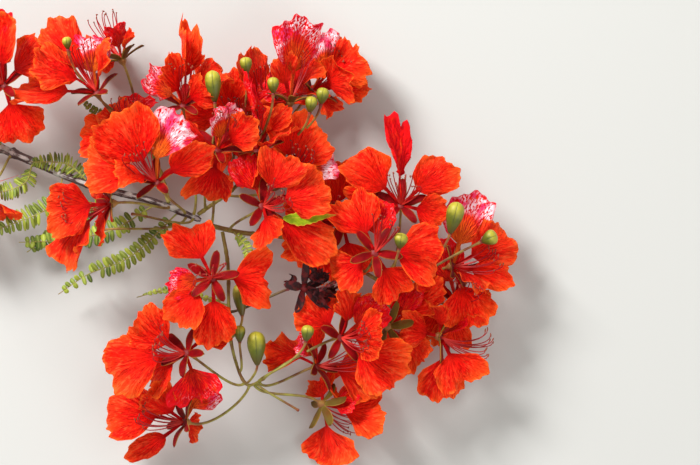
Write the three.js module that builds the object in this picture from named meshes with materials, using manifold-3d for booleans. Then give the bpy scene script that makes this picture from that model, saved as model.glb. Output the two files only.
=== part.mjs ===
// A cut flowering branch of a flame tree, lying on its lower blooms and its cut end.
// Millimetres, +Z up. X runs from the cut end along the branch and Z away from the ground.
// Every stem, bloom, bud and leaf is one closed solid in a mesh of its own.

import * as THREE from "three";
import { mergeVertices } from "three/addons/utils/BufferGeometryUtils.js";
import Module from "manifold-3d";

// Clearances
const SEAT_GAP = 0.3; // between a stalk's foot and the stem that carries it
const BLADE_ROOM = 0.6; // how far a blade keeps from the flat of another
const EDGE_ROOM = 2; // how far it keeps from the other's edge
const LEAST_SLIVER = 0.05; // a cut's faces are merged where they bend by less than this

// Petals
const PETAL_OUTLINE = [
  [0, 0],
  [0.28, 0],
  [0.5, 0.86],
  [0.78, 1],
  [1, 0.42],
]; // share of the length, share of the way from the claw's half width to the limb's
const CLAW_HALF_WIDTH = 1.3;
const PETAL_THICKNESS = 1.5; // along its midrib, and none at its edges
const PETAL_FOLD = 0; // degrees that each half is raised
const ROOT_REACH = 2.6; // from where the petals meet to where each of them starts

// Calyx
const SEPAL_COUNT = 5;
const SEPAL_OUTLINE = [
  [0, 0.45],
  [0.4, 1],
  [1, 0.12],
];
const SEPAL_LENGTH = 23;
const SEPAL_HALF_WIDTH = 3.2;
const SEPAL_THICKNESS = 1.5;
const SEPAL_DROP = 2; // behind where the petals meet
const SEPAL_REACH = 3.8; // from the middle of the cup to where each sepal starts
const SEPAL_SPREAD = 74; // degrees from the way the bloom faces
const SEPAL_ARCH = 26;
const CUP_LENGTH = 7;
const CUP_SIDES = 4;
const CUP_RADIUS = 5.4;
const CUP_RISE = 3.4; // past where the petals meet

// Stems, stalks and stamens
const STEM_SIDES = 6;
const STALK_RADIUS = 1.15;
const STALK_STEPS = 4;
const STAMEN_COUNT = 2;
const STAMEN_RADIUS = 0.55;
const STAMEN_LENGTH = 44;
const STAMEN_SPREAD = 34; // degrees between the outer ones
const STAMEN_SAG = 0.15; // of its length, before it curls up

// Buds
const BUD_SIDES = 5;
const BUD_PROFILE = [
  [0.16, 0.66],
  [0.52, 1],
  [0.86, 0.76],
  [1, 0.25],
]; // share of the length, share of the radius

// Fronds
const LEAFLET_GAP = 0.3; // of the pitch of the leaflets
const LEAFLET_LEAN = 0.3; // of a leaflet's length, towards the frond's tip
const LEAFLET_TIP = 0.5; // of a leaflet's width at its foot
const LEAF_HALF_THICKNESS = 0.45;
const RIB_HALF_WIDTH = 0.8;

// From the frame that the rows below are measured in to the middle of the ground under the whole
const SHIFT = [103, 3, 10.5];

const COLOURS = {
  bark: ["#5b4a42", 0.85],
  stalk: ["#8c8a3a", 0.6],
  petal: ["#f5240c", 0.5],
  bud: ["#7f9a2c", 0.45],
  leaf: ["#8fa02a", 0.6],
  withered: ["#3a0d12", 0.8],
};

// Stems: the points of each centre line and the radius at both ends.
const STEMS = {
  branch: {
    points: [
      [-303, 75, 4.2],
      [-280, 67, 7],
      [-258, 58, 12.1],
      [-220, 42, 21.2],
      [-190, 33, 27.3],
      [-158, 25, 31.1],
      [-120, 10, 34.2],
    ],
    radii: [3.8, 2.5],
    colour: "bark",
  },
  stem_east: {
    points: [
      [-116.4, 6.6, 34.3],
      [-88, 0, 34],
      [-48, -5, 30.9],
      [-4, -23, 23.1],
      [40, -50, 15.4],
    ],
    radii: [2.1, 1.5],
    colour: "stalk",
  },
  stem_south: {
    points: [
      [-102.6, 0.4, 32.5],
      [-98, -26, 39.3],
      [-97, -62, 45.2],
      [-93, -98, 46.7],
      [-82, -122, 45.3],
      [-68, -117, 41.5],
    ],
    radii: [1.6, 1.2],
    colour: "stalk",
  },
  stem_north: {
    points: [
      [-122, 14.6, 32.5],
      [-96, 34, 19.1],
      [-72, 56, 10],
      [-52, 78, 5.4],
    ],
    radii: [1.7, 1.3],
    colour: "stalk",
  },
  stem_northwest: {
    points: [
      [-146, 23.6, 29.6],
      [-152, 46, 22.4],
      [-166, 76, 20.2],
      [-178, 98, 19.8],
    ],
    radii: [1.7, 1.3],
    colour: "stalk",
  },
};

// Blooms: where the petals meet, the way the bloom faces (aim and lift in degrees), the turn of
// its sepals, and the stem and share of its length where the stalk is seated. Aim is measured
// anticlockwise from +X in plan and lift above the level. Each petal has the aim and lift of its
// tip, its length and width, its turn about its own length, its arch and, where it is not
// PETAL_FOLD, its fold. The first petal of each bloom is the pale spotted standard.
const BLOOMS = {
  bloom_star_west: {
    at: [-109, -36, 80],
    faces: [100, 80],
    turn: 88,
    foot: ["stem_south", 0.72],
    petals: [
      [192, -14, 42, 24, 10, 30],
      [118, -14, 53, 41, 0, 40],
      [-3, -22, 56, 42, 0, 46],
      [275, -8, 59, 34, 10, 26],
      [228, 4, 52, 34, 0, 24],
    ],
  },
  bloom_southwest: {
    at: [-131, -96, 63],
    faces: [150, 52],
    turn: 20,
    foot: ["stem_south", 0.87],
    petals: [
      [-66, -14, 44, 42, 0, 36],
      [190, 4, 72, 49, 0, 26],
      [148, 6, 55, 37, -10, 34],
      [222, -24, 46, 35, 0, 36],
      [36, -8, 46, 37, 20, 40],
    ],
  },
  bloom_south: {
    at: [-133, -152, 36],
    faces: [165, 28],
    turn: 60,
    foot: ["stem_south", 0.9],
    petals: [
      [60, 14, 44, 34, 45, 36],
      [171, -6, 71, 46, 0, 20],
      [216, -10, 62, 19, -50, 24],
      [138, 26, 48, 30, 50, 24],
      [330, -60, 26, 26, 0, 30],
    ],
  },
  bloom_west: {
    at: [-190, 23, 77],
    faces: [186, 22],
    turn: 30,
    foot: ["branch", 0.86],
    petals: [
      [112, -32, 46, 30, 0, 30],
      [188, 10, 54, 47, 0, 30],
      [229, -2, 67, 54, 0, 36],
      [128, -50, 40, 30, 0, 30],
      [244, -34, 32, 32, 0, 30],
    ],
  },
  bloom_centre_west: {
    at: [-153, 40, 88],
    faces: [120, 46],
    turn: 10,
    foot: ["branch", 0.93],
    petals: [
      [80, 12, 62, 41, 0, 34],
      [168, 36, 42, 35, 0, 36],
      [34, 22, 58, 30, 66, 20],
      [122, 10, 70, 53, 0, 30],
      [169, -4, 66, 46, 0, 34],
    ],
  },
  bloom_behind_west: {
    at: [-172, 72, 45],
    faces: [116, 22],
    turn: 0,
    foot: ["stem_northwest", 0.55],
    stamens: [104, 20, 44],
    petals: [
      [90, -22, 44, 30, 0, 30],
      [171, 4, 47, 39, -55, 34],
      [128, -4, 40, 33, 0, 30],
      [212, -36, 46, 35, 0, 30],
      [34, -36, 44, 32, 0, 30],
    ],
  },
  bloom_north_west: {
    at: [-202, 112, 63],
    faces: [120, 30],
    turn: 20,
    foot: ["stem_northwest", 0.8],
    stamens: [112, 18, 46],
    petals: [
      [93, -10, 50, 39, 0, 30],
      [72, 28, 46, 39, 10, 28],
      [155, 16, 64, 40, 0, 30],
      [184, -12, 72, 44, 0, 22],
      [128, -12, 82, 34, 24, 24],
    ],
  },
  bloom_north_far: {
    at: [-184, 140, 29],
    faces: [112, -6],
    turn: 40,
    foot: ["stem_northwest", 0.98],
    petals: [
      [96, 12, 30, 26, 20, 30],
      [66, 22, 28, 23, 50, 30],
      [150, -30, 40, 32, 0, 30],
      [170, -30, 46, 35, 0, 30],
      [200, -55, 38, 28, 0, 30],
    ],
  },
  bloom_far_west: {
    at: [-277, 118, 53],
    faces: [120, 50],
    turn: 10,
    foot: ["branch", 0.1],
    petals: [
      [104, 6, 70, 39, 0, 30],
      [84, 18, 60, 39, 0, 30],
      [42, 10, 50, 44, 0, 24],
      [290, -6, 52, 42, 0, 24],
      [196, -10, 56, 42, 0, 30],
    ],
  },
  bloom_low_west: {
    at: [-296, 36, 43],
    faces: [200, 40],
    turn: 0,
    foot: ["branch", 0.16],
    petals: [
      [150, -20, 46, 32, 0, 30],
      [20, -40, 40, 34, 0, 24],
      [312, -40, 44, 36, 0, 24],
      [250, -30, 52, 39, 0, 30],
      [196, -20, 50, 37, 0, 30],
    ],
  },
  bloom_north: {
    at: [-133, 102, 58],
    faces: [92, 40],
    turn: 30,
    foot: ["branch", 0.965],
    petals: [
      [148, 14, 40, 35, 0, 34],
      [92, -4, 75, 30, 40, 20, 46],
      [116, 30, 48, 34, 0, 30],
      [40, 2, 46, 42, 0, 34],
      [34, 46, 40, 28, 70, 20],
    ],
  },
  bloom_centre: {
    at: [-105, 66, 74],
    faces: [78, 40],
    turn: 18,
    foot: ["stem_east", 0.03],
    petals: [
      [86, 34, 42, 30, 0, 30],
      [152, 12, 42, 35, 10, 30],
      [30, 30, 46, 30, 56, 24],
      [-14, -40, 40, 30, 0, 30],
      [259, -30, 53, 35, 0, 20],
    ],
  },
  bloom_centre_north: {
    at: [-74, 66, 56],
    faces: [100, 30],
    turn: 10,
    foot: ["stem_north", 0.42],
    petals: [
      [102, 14, 70, 30, 60, 16, 30],
      [22, 44, 40, 35, 0, 30],
      [247, 26, 38, 30, 0, 30],
      [60, -10, 46, 35, 0, 30],
      [168, -40, 42, 30, 0, 30],
    ],
  },
  bloom_north_behind: {
    at: [-70, 98, 20],
    faces: [96, 24],
    turn: 0,
    foot: ["stem_north", 0.8],
    petals: [
      [60, -30, 46, 30, 0, 30],
      [109, 12, 55, 41, 0, 20],
      [160, -20, 48, 35, 0, 30],
      [20, -30, 46, 35, 0, 30],
      [250, -30, 42, 32, 0, 30],
    ],
  },
  bloom_centre_east: {
    at: [-69, 21, 80],
    faces: [40, 66],
    turn: 15,
    foot: ["stem_east", 0.12],
    petals: [
      [112, -14, 46, 34, 0, 30],
      [13, 2, 58, 44, 0, 34],
      [-38, -4, 70, 39, 0, 30],
      [290, 34, 38, 26, 60, 24],
      [66, 8, 50, 36, 0, 30],
    ],
  },
  bloom_centre_high: {
    at: [-50, 44, 41],
    faces: [60, 50],
    turn: 45,
    foot: ["stem_north", 0.3],
    petals: [
      [18, 2, 44, 30, 0, 30],
      [88, 10, 60, 39, 0, 26],
      [53, 4, 50, 38, 0, 26],
      [140, -36, 44, 32, 0, 30],
      [-60, -46, 42, 32, 0, 30],
    ],
  },
  bloom_north_east: {
    at: [-48, 106, 39],
    faces: [84, 4],
    turn: 12,
    foot: ["stem_north", 0.97],
    petals: [
      [80, 10, 74, 44, 0, 20],
      [101, 18, 42, 23, 76, 20],
      [62, -30, 48, 35, 0, 30],
      [200, -50, 40, 30, 0, 30],
      [22, -52, 44, 32, 0, 30],
    ],
  },
  bloom_far_north_east: {
    at: [-30, 115, 15],
    faces: [50, 16],
    turn: 30,
    foot: ["stem_north", 0.9],
    petals: [
      [68, -4, 52, 30, 0, 24],
      [44, 10, 54, 48, 0, 20],
      [20, 46, 48, 44, -48, 36],
      [4, 4, 50, 26, 40, 20],
      [310, 0, 28, 24, 20, 30],
    ],
  },
  bloom_east_high: {
    at: [41, 22, 39],
    faces: [88, 62],
    turn: 34,
    foot: ["stem_east", 0.93],
    petals: [
      [103, 8, 74, 25, 62, 22, 34],
      [138, 6, 62, 42, 0, 36],
      [44, 4, 56, 34, 30, 36],
      [-13, 10, 40, 28, 30, 36],
      [191, 0, 44, 37, 0, 36],
    ],
  },
  bloom_east_star: {
    at: [20, -16, 74],
    faces: [80, 76],
    turn: 88,
    foot: ["stem_east", 0.8],
    stamens: [70, 46, 42],
    petals: [
      [84, -20, 48, 28, 0, 30],
      [-4, -8, 58, 49, 0, 34],
      [-62, -20, 46, 37, 0, 34],
      [216, -8, 42, 35, 0, 34],
      [117, -10, 56, 42, 0, 34],
    ],
  },
  bloom_east: {
    at: [83, -27, 28],
    faces: [14, 24],
    turn: 20,
    foot: ["stem_east", 0.97],
    petals: [
      [76, -2, 64, 39, -50, 24],
      [31, -6, 54, 44, 0, 24],
      [-9, 2, 54, 24, 56, 26],
      [-72, 4, 56, 40, 50, 26],
      [-42, 40, 40, 32, 30, 30],
    ],
  },
  bloom_south_east: {
    at: [73, -84, 31],
    faces: [-8, 16],
    turn: 0,
    foot: ["stem_east", 0.995, 50],
    stamens: [-6, 8, 44],
    petals: [
      [40, 10, 26, 21, 30, 30],
      [270, -6, 56, 38, 50, 20],
      [-66, 4, 48, 39, 55, 24],
      [100, 30, 36, 24, 56, 20],
      [167, 8, 38, 30, 0, 30],
    ],
  },
  bloom_south_middle: {
    at: [-7, -84, 58],
    faces: [10, 62],
    turn: 40,
    foot: ["stem_south", 0.99],
    petals: [
      [41, -14, 50, 30, 0, 30],
      [136, -8, 45, 43, 0, 30],
      [81, 4, 46, 32, 40, 30],
      [6, 28, 42, 39, 0, 30],
      [-41, 2, 62, 46, 0, 34],
    ],
  },
  bloom_south_low: {
    at: [-26, -107, 34],
    faces: [20, 30],
    turn: 10,
    foot: ["stem_south", 0.96],
    petals: [
      [122, 18, 32, 28, 0, 30],
      [162, -10, 44, 48, 0, 30],
      [100, 10, 44, 28, 64, 20],
      [-16, -26, 56, 42, 0, 30],
      [-60, -50, 44, 35, 0, 30],
    ],
  },
  bloom_back_south: {
    at: [-22, -139, 25],
    faces: [-36, -34],
    turn: 24,
    foot: ["stem_south", 0.93],
    petals: [
      [10, 10, 30, 26, 0, 30],
      [-4, -6, 54, 46, 0, 30],
      [-85, -10, 54, 49, 0, 24],
      [30, -36, 44, 32, 0, 30],
      [100, -40, 30, 26, 0, 30],
    ],
  },
  bloom_back_east: {
    at: [31, -76, 33],
    faces: [-20, -50],
    turn: 42,
    foot: ["stem_east", 0.985],
    petals: [
      [60, -22, 44, 30, 0, 30],
      [44, -10, 58, 42, 0, 30],
      [-44, -12, 44, 34, 0, 20],
      [-80, -50, 46, 35, 0, 30],
      [150, -44, 44, 32, 0, 30],
    ],
  },
  bloom_north_middle: {
    at: [-92, 86, 28],
    faces: [110, 62],
    turn: 20,
    foot: ["stem_north", 0.64],
    petals: [
      [60, -8, 42, 30, 0, 30],
      [108, 4, 50, 40, 0, 30],
      [30, -4, 40, 32, 0, 30],
      [164, 0, 52, 40, 0, 30],
      [236, -20, 44, 34, 0, 30],
    ],
  },
  bloom_middle: {
    at: [-6, 8, 24],
    faces: [120, 70],
    turn: 30,
    foot: ["stem_east", 0.5],
    petals: [
      [30, -10, 44, 30, 0, 30],
      [100, 2, 54, 42, 0, 30],
      [228, -4, 58, 41, 0, 30],
      [284, -6, 50, 40, 0, 30],
      [170, -4, 50, 38, 0, 30],
    ],
  },
  bloom_east_low: {
    at: [86, -56, 18],
    faces: [60, 66],
    turn: 50,
    foot: ["stem_east", 0.96, -40],
    petals: [
      [108, 4, 56, 34, 0, 30],
      [134, 2, 48, 40, 0, 30],
      [-10, 20, 28, 28, 0, 30],
      [-100, -10, 40, 34, 0, 30],
      [204, -2, 46, 36, 0, 30],
    ],
  },
};

// Buds: the foot and tip of each, its radius, and its seat as for a bloom.
const BUDS = {
  bud_north_west: { base: [-107, 104, 84], tip: [-109, 128, 88], radius: 6.4, foot: ["stem_north", 0.08] },
  bud_north_tall: { base: [-82, 127, 74], tip: [-83, 139, 77], radius: 4.8, foot: ["stem_north", 0.36] },
  bud_north: { base: [-61, 111, 72], tip: [-61, 123, 76], radius: 4.6, foot: ["stem_north", 0.5] },
  bud_north_right: { base: [-23, 103, 62], tip: [-21, 115, 66], radius: 5, foot: ["stem_north", 0.94] },
  bud_north_low: { base: [-32, 96, 64], tip: [-30, 108, 68], radius: 4.8, foot: ["stem_north", 0.86] },
  bud_east_large: { base: [80, 0, 58], tip: [86, 24, 64], radius: 7.2, foot: ["stem_east", 0.96, 50] },
  bud_east: { base: [106, -7, 50], tip: [117, -2, 54], radius: 6.2, foot: ["stem_east", 0.985, 25] },
  bud_east_high: { base: [39, -12, 86], tip: [41, -1, 91], radius: 5.4, foot: ["stem_east", 0.86] },
  bud_south_high: { base: [-35, -86, 66], tip: [-33, -74, 70], radius: 5, foot: ["stem_south", 0.96] },
  bud_south_large: { base: [-74, -105, 58], tip: [-75, -79, 64], radius: 7.6, foot: ["stem_south", 0.88, 25] },
  bud_south_small: { base: [-88, -87, 60], tip: [-88, -74, 62], radius: 4.6, foot: ["stem_south", 0.8] },
  bud_south_old: { base: [-86, -66, 60], tip: [-89, -41, 60], radius: 5.6, foot: ["stem_south", 0.6] },
  bud_far_west: { base: [-224, 146, 74], tip: [-225, 155, 77], radius: 3.8, foot: ["stem_northwest", 0.9] },
};

// Bare stalks that have lost their bloom: the end of each and its seat.
const BARE_STALKS = {
  bare_stalk_upper: { end: [-176, 15, 34], foot: ["branch", 0.97, -25] },
  bare_stalk_lower: { end: [-200, 2, 30], foot: ["branch", 0.94] },
  bare_stalk_south: { end: [-41, -143, 40], foot: ["stem_south", 0.94, -50] },
};

// Fronds: the points of each rib after its foot, the pairs of leaflets and their length, and its
// seat.
const FRONDS = {
  frond_upper: {
    points: [
      [-228, 55, 23],
      [-258, 57, 25],
    ],
    pairs: 8,
    leaflet: 9,
    foot: ["branch", 0.5],
  },
  frond_left: {
    points: [
      [-238, 24, 22],
      [-290, 0, 18],
    ],
    pairs: 7,
    leaflet: 11,
    foot: ["branch", 0.4],
  },
  frond_middle: {
    points: [
      [-192, 2, 24],
      [-230, -6, 18],
      [-268, -8, 12],
    ],
    pairs: 8,
    leaflet: 10,
    foot: ["branch", 0.8],
  },
  frond_lower: {
    points: [
      [-178, -20, 26],
      [-212, -34, 20],
      [-236, -50, 14],
    ],
    pairs: 8,
    leaflet: 9,
    foot: ["branch", 0.9],
  },
  frond_north: {
    points: [
      [-200, 94, 26],
      [-217, 107, 28],
    ],
    pairs: 5,
    leaflet: 6,
    foot: ["stem_northwest", 0.7],
  },
  frond_south: {
    points: [
      [-145, -46, 44],
      [-171, -52, 42],
    ],
    pairs: 5,
    leaflet: 3.4,
    foot: ["stem_south", 0.42],
  },
  frond_middle_small: {
    points: [
      [-82, -14, 56],
      [-80, -34, 58],
    ],
    pairs: 5,
    leaflet: 5,
    foot: ["stem_east", 0.14],
  },
  frond_west: {
    points: [
      [-262, 40, 26],
      [-296, 28, 26],
    ],
    pairs: 7,
    leaflet: 9,
    foot: ["branch", 0.26],
  },
  frond_low_west: {
    points: [
      [-226, 8, 12],
      [-262, -16, 8],
    ],
    pairs: 7,
    leaflet: 10,
    foot: ["branch", 0.62],
  },
};

// The one bloom that has dried, as a row of BLOOMS.
const WITHERED = {
  at: [-36, -44, 56],
  faces: [-10, 60],
  turn: 0,
  foot: ["stem_south", 0.46],
  petals: [
    [12, 10, 26, 20, 40, 60, 40],
    [40, -10, 20, 18, -30, 60, 40],
    [-20, -20, 24, 18, 20, 60, 40],
    [160, -20, 14, 14, 0, 60, 40],
  ],
};

const wasm = await Module();
wasm.setup();

const UP = new THREE.Vector3(0, 0, 1);
const radians = THREE.MathUtils.degToRad;
const vector = (row) => new THREE.Vector3(...row);

function heading(aim, lift) {
  const level = Math.cos(radians(lift));
  return new THREE.Vector3(
    level * Math.cos(radians(aim)),
    level * Math.sin(radians(aim)),
    Math.sin(radians(lift)),
  );
}

// The part of a direction that is square to another, as a unit vector.
function squareTo(direction, towards) {
  return towards.clone().addScaledVector(direction, -towards.dot(direction)).normalize();
}

// A solid between rings that all have as many points, with flat ends.
function skin(rings) {
  const sides = rings[0].length;
  const index = [];
  for (let ring = 0; ring + 1 < rings.length; ring++)
    for (let side = 0; side < sides; side++) {
      const a = ring * sides + side;
      const b = ring * sides + ((side + 1) % sides);
      index.push(a, b, b + sides, a, b + sides, a + sides);
    }
  const last = (rings.length - 1) * sides;
  for (let side = 1; side + 1 < sides; side++) {
    index.push(0, side + 1, side);
    index.push(last, last + side, last + side + 1);
  }
  const geometry = new THREE.BufferGeometry().setFromPoints(rings.flat());
  geometry.setIndex(index);
  return solid(geometry);
}

function solid(geometry) {
  const { attributes, index } = mergeVertices(geometry, 1e-4);
  return new wasm.Manifold(
    new wasm.Mesh({
      numProp: 3,
      vertProperties: attributes.position.array,
      triVerts: new Uint32Array(index.array),
    }),
  );
}

// The rings of a round limb along a curve, whose radius at a share of the length is radiusAt.
function limbRings(curve, steps, sides, radiusAt) {
  const frames = curve.computeFrenetFrames(steps, false);
  return frames.normals.map((normal, ring) => {
    const centre = curve.getPointAt(ring / steps);
    const radius = radiusAt(ring / steps);
    return [...Array(sides).keys()].map((side) => {
      const turn = (2 * Math.PI * side) / sides;
      return centre
        .clone()
        .addScaledVector(normal, radius * Math.cos(turn))
        .addScaledVector(frames.binormals[ring], radius * Math.sin(turn));
    });
  });
}

// A ring again, further along an axis and with another radius.
function ringBeyond(ring, axis, distance, growth) {
  const centre = new THREE.Vector3();
  for (const point of ring) centre.addScaledVector(point, 1 / ring.length);
  return ring.map((point) =>
    point.clone().sub(centre).multiplyScalar(growth).add(centre).addScaledVector(axis, distance),
  );
}

// A blade with a ridge under its midrib, which bends as an arc over its chord. With room it is the
// space that other blades keep out of.
function blade({ root, aim, face, length, arch, fold, outline, halfWidth, thickness, room }) {
  const side = new THREE.Vector3().crossVectors(aim, face);
  const bend = radians(arch);
  const spare = room ? EDGE_ROOM : 0;
  return skin(
    outline.map(([share, widthShare]) => {
      const slope = bend * (0.5 - share);
      const chord = (length * (Math.sin(bend / 2) - Math.sin(slope))) / bend;
      const along = chord + spare * (2 * share - 1);
      const over = (length * (Math.cos(slope) - Math.cos(bend / 2))) / bend;
      const centre = root.clone().addScaledVector(aim, along).addScaledVector(face, over);
      const lift = aim
        .clone()
        .multiplyScalar(-Math.sin(slope))
        .addScaledVector(face, Math.cos(slope));
      const half = halfWidth(widthShare) + spare;
      const edge = (sign, height) =>
        centre
          .clone()
          .addScaledVector(side, sign * half * Math.cos(radians(fold)))
          .addScaledVector(lift, height + half * Math.sin(radians(fold)));
      const middle = (height) => centre.clone().addScaledVector(lift, height);
      if (!room && !fold) return [middle(-thickness), edge(-1, 0), edge(1, 0)];
      if (!room) return [middle(-thickness), edge(-1, 0), middle(0), edge(1, 0)];
      return [
        middle(-thickness - BLADE_ROOM),
        edge(-1, -BLADE_ROOM),
        edge(-1, BLADE_ROOM),
        middle(BLADE_ROOM),
        edge(1, BLADE_ROOM),
        edge(1, -BLADE_ROOM),
      ];
    }),
  );
}

function petal(bloom, [aimDeg, liftDeg, length, width, turn, arch, fold = PETAL_FOLD], room) {
  const aim = heading(aimDeg, liftDeg);
  const face = squareTo(aim, heading(...bloom.faces)).applyAxisAngle(aim, radians(turn));
  return blade({
    root: vector(bloom.at).addScaledVector(aim, ROOT_REACH),
    aim,
    face,
    length: length - ROOT_REACH,
    arch,
    fold,
    outline: PETAL_OUTLINE,
    halfWidth: (share) => CLAW_HALF_WIDTH + (width / 2 - CLAW_HALF_WIDTH) * share,
    thickness: PETAL_THICKNESS,
    room,
  });
}

function sepal(bloom, number, room) {
  const axis = heading(...bloom.faces);
  const turn = radians(bloom.turn + (360 / SEPAL_COUNT) * number);
  const outward = squareTo(axis, UP).applyAxisAngle(axis, turn);
  const aim = axis
    .clone()
    .multiplyScalar(Math.cos(radians(SEPAL_SPREAD)))
    .addScaledVector(outward, Math.sin(radians(SEPAL_SPREAD)));
  return blade({
    root: vector(bloom.at).addScaledVector(axis, -SEPAL_DROP).addScaledVector(aim, SEPAL_REACH),
    aim,
    face: squareTo(aim, axis),
    length: SEPAL_LENGTH - SEPAL_REACH,
    arch: SEPAL_ARCH,
    fold: 0,
    outline: SEPAL_OUTLINE,
    halfWidth: (share) => SEPAL_HALF_WIDTH * share,
    thickness: SEPAL_THICKNESS,
    room,
  });
}

// Stamens stand in a fan about one direction and curl up towards their tips.
function stamen(bloom, number, room) {
  const [aimDeg, liftDeg, length] = bloom.stamens ?? [...bloom.faces, STAMEN_LENGTH];
  const middle = heading(aimDeg, liftDeg);
  const fan = radians(STAMEN_SPREAD * (number / (STAMEN_COUNT - 1) - 0.5));
  const aim = middle.clone().applyAxisAngle(squareTo(middle, UP), fan);
  const root = vector(bloom.at);
  const sag = root
    .clone()
    .addScaledVector(aim, length / 2)
    .addScaledVector(squareTo(aim, UP), -length * STAMEN_SAG);
  const tip = root.clone().addScaledVector(aim, length);
  const curve = new THREE.QuadraticBezierCurve3(root, sag, tip);
  return skin(limbRings(curve, 2, 3, () => STAMEN_RADIUS + (room ? BLADE_ROOM : 0)));
}

const stemCurves = {};
for (const [name, { points }] of Object.entries(STEMS))
  stemCurves[name] = new THREE.CatmullRomCurve3(points.map(vector), false, "centripetal");

function stemRadius(name, share) {
  const [first, last] = STEMS[name].radii;
  return first + (last - first) * share;
}

// Where a stalk starts on its stem, on the side that looks to its head or turned round from it.
function seat([stemName, share, around = 0], head) {
  const curve = stemCurves[stemName];
  const along = curve.getTangentAt(share);
  const centre = curve.getPointAt(share);
  const out = squareTo(along, head.clone().sub(centre)).applyAxisAngle(along, radians(around));
  const foot = centre.addScaledVector(out, stemRadius(stemName, share) + SEAT_GAP);
  return { foot, out };
}

// The rings of a stalk, which leaves its stem square to it and comes up behind its head.
function stalkRings(seated, head, axis, sides, room) {
  const { foot, out } = seat(seated, head);
  const reach = foot.distanceTo(head);
  const curve = new THREE.CubicBezierCurve3(
    foot,
    foot.clone().addScaledVector(out, 0.22 * reach),
    head.clone().addScaledVector(axis, -0.34 * reach),
    head,
  );
  return limbRings(curve, STALK_STEPS, sides, () => STALK_RADIUS + room);
}

function stalkAndCup(bloom, room) {
  const axis = heading(...bloom.faces);
  const cupFoot = vector(bloom.at).addScaledVector(axis, -CUP_LENGTH);
  const rings = stalkRings(bloom.foot, cupFoot, axis, CUP_SIDES, room);
  const growth = (CUP_RADIUS + room) / (STALK_RADIUS + room);
  const rim = ringBeyond(rings.at(-1), axis, CUP_LENGTH + CUP_RISE, growth);
  return skin([...rings, rim]);
}

function bud({ base, tip, radius, foot }, room) {
  const line = vector(tip).sub(vector(base));
  const axis = line.clone().normalize();
  const rings = stalkRings(foot, vector(base), axis, BUD_SIDES, room);
  const head = BUD_PROFILE.map(([share, size]) => {
    const growth = (radius * size + room) / (STALK_RADIUS + room);
    return ringBeyond(rings.at(-1), axis, line.length() * share, growth);
  });
  return skin([...rings, ...head]);
}

function bareStalk({ end, foot }, room) {
  const head = vector(end);
  const axis = head.clone().sub(seat(foot, head).foot).normalize();
  return skin(stalkRings(foot, head, axis, CUP_SIDES, room));
}

// The outline of a frond, cut to the rib between its leaflets, along its rib and across it.
// The flat of a frond as four-sided cells along its rib and one for each leaflet, in places along
// the rib and across it.
function frondCells(length, pairs, leaflet) {
  const pitch = length / (pairs + 1);
  const places = [];
  const cells = [];
  const add = (along, across) => places.push([along, across]) - 1;
  let left = add(0, RIB_HALF_WIDTH);
  let right = add(0, -RIB_HALF_WIDTH);
  function lengthen(along, halfWidth) {
    const [nextLeft, nextRight] = [add(along, halfWidth), add(along, -halfWidth)];
    cells.push([right, nextRight, nextLeft, left]);
    const ends = [left, right, nextLeft, nextRight];
    [left, right] = [nextLeft, nextRight];
    return ends;
  }
  for (let pair = 1; pair <= pairs; pair++) {
    const size = leaflet * Math.sin(Math.PI * (0.2 + (0.65 * pair) / pairs));
    const half = (pitch * (1 - LEAFLET_GAP)) / 2;
    const middle = pair * pitch;
    const lean = middle + size * LEAFLET_LEAN;
    const tips = [lean - half * LEAFLET_TIP, lean + half * LEAFLET_TIP];
    lengthen(middle - half, RIB_HALF_WIDTH);
    const [nearLeft, nearRight, farLeft, farRight] = lengthen(middle + half, RIB_HALF_WIDTH);
    cells.push([nearLeft, farLeft, add(tips[1], size), add(tips[0], size)]);
    cells.push([farRight, nearRight, add(tips[0], -size), add(tips[1], -size)]);
  }
  lengthen(length, RIB_HALF_WIDTH / 2);
  return { places, cells };
}

function frond({ points, pairs, leaflet, foot }) {
  const first = seat(foot, vector(points[0])).foot;
  const curve = new THREE.CatmullRomCurve3([first, ...points.map(vector)], false, "centripetal");
  const length = curve.getLength();
  const { places, cells } = frondCells(length, pairs, leaflet);
  const [top, bottom] = [LEAF_HALF_THICKNESS, -LEAF_HALF_THICKNESS].map((height) =>
    places.map(([reach, sideways]) => {
      const share = Math.min(1, reach / length);
      const along = curve.getTangentAt(share);
      const over = squareTo(along, UP);
      return curve
        .getPointAt(share)
        .addScaledVector(along, reach - share * length)
        .addScaledVector(new THREE.Vector3().crossVectors(over, along), sideways)
        .addScaledVector(over, height);
    }),
  );
  const under = places.length;
  const edges = new Set(cells.flatMap((cell) => cell.map((from, n) => `${from} ${cell[(n + 1) % 4]}`)));
  const index = [];
  for (const cell of cells) {
    const [a, b, c, d] = cell;
    index.push(a, b, c, a, c, d, a + under, c + under, b + under, a + under, d + under, c + under);
    cell.forEach((from, n) => {
      const to = cell[(n + 1) % 4];
      if (!edges.has(`${to} ${from}`))
        index.push(from, from + under, to + under, from, to + under, to);
    });
  }
  const geometry = new THREE.BufferGeometry().setFromPoints([...top, ...bottom]);
  geometry.setIndex(index);
  return solid(geometry);
}

function largestPiece(manifold) {
  const pieces = manifold.simplify(LEAST_SLIVER).decompose();
  return pieces.sort((a, b) => b.volume() - a.volume())[0];
}

const group = new THREE.Group();

function addMesh(name, manifold, colour) {
  const { vertProperties, triVerts } = manifold.translate(SHIFT).getMesh();
  const geometry = new THREE.BufferGeometry();
  geometry.setAttribute("position", new THREE.BufferAttribute(vertProperties, 3));
  geometry.setIndex(new THREE.BufferAttribute(triVerts, 1));
  geometry.computeVertexNormals();
  const [color, roughness] = COLOURS[colour];
  const material = new THREE.MeshStandardMaterial({ color, roughness, metalness: 0 });
  const mesh = new THREE.Mesh(geometry, material);
  mesh.name = name;
  group.add(mesh);
}

const union = (solids) => wasm.Manifold.union(solids);

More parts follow.
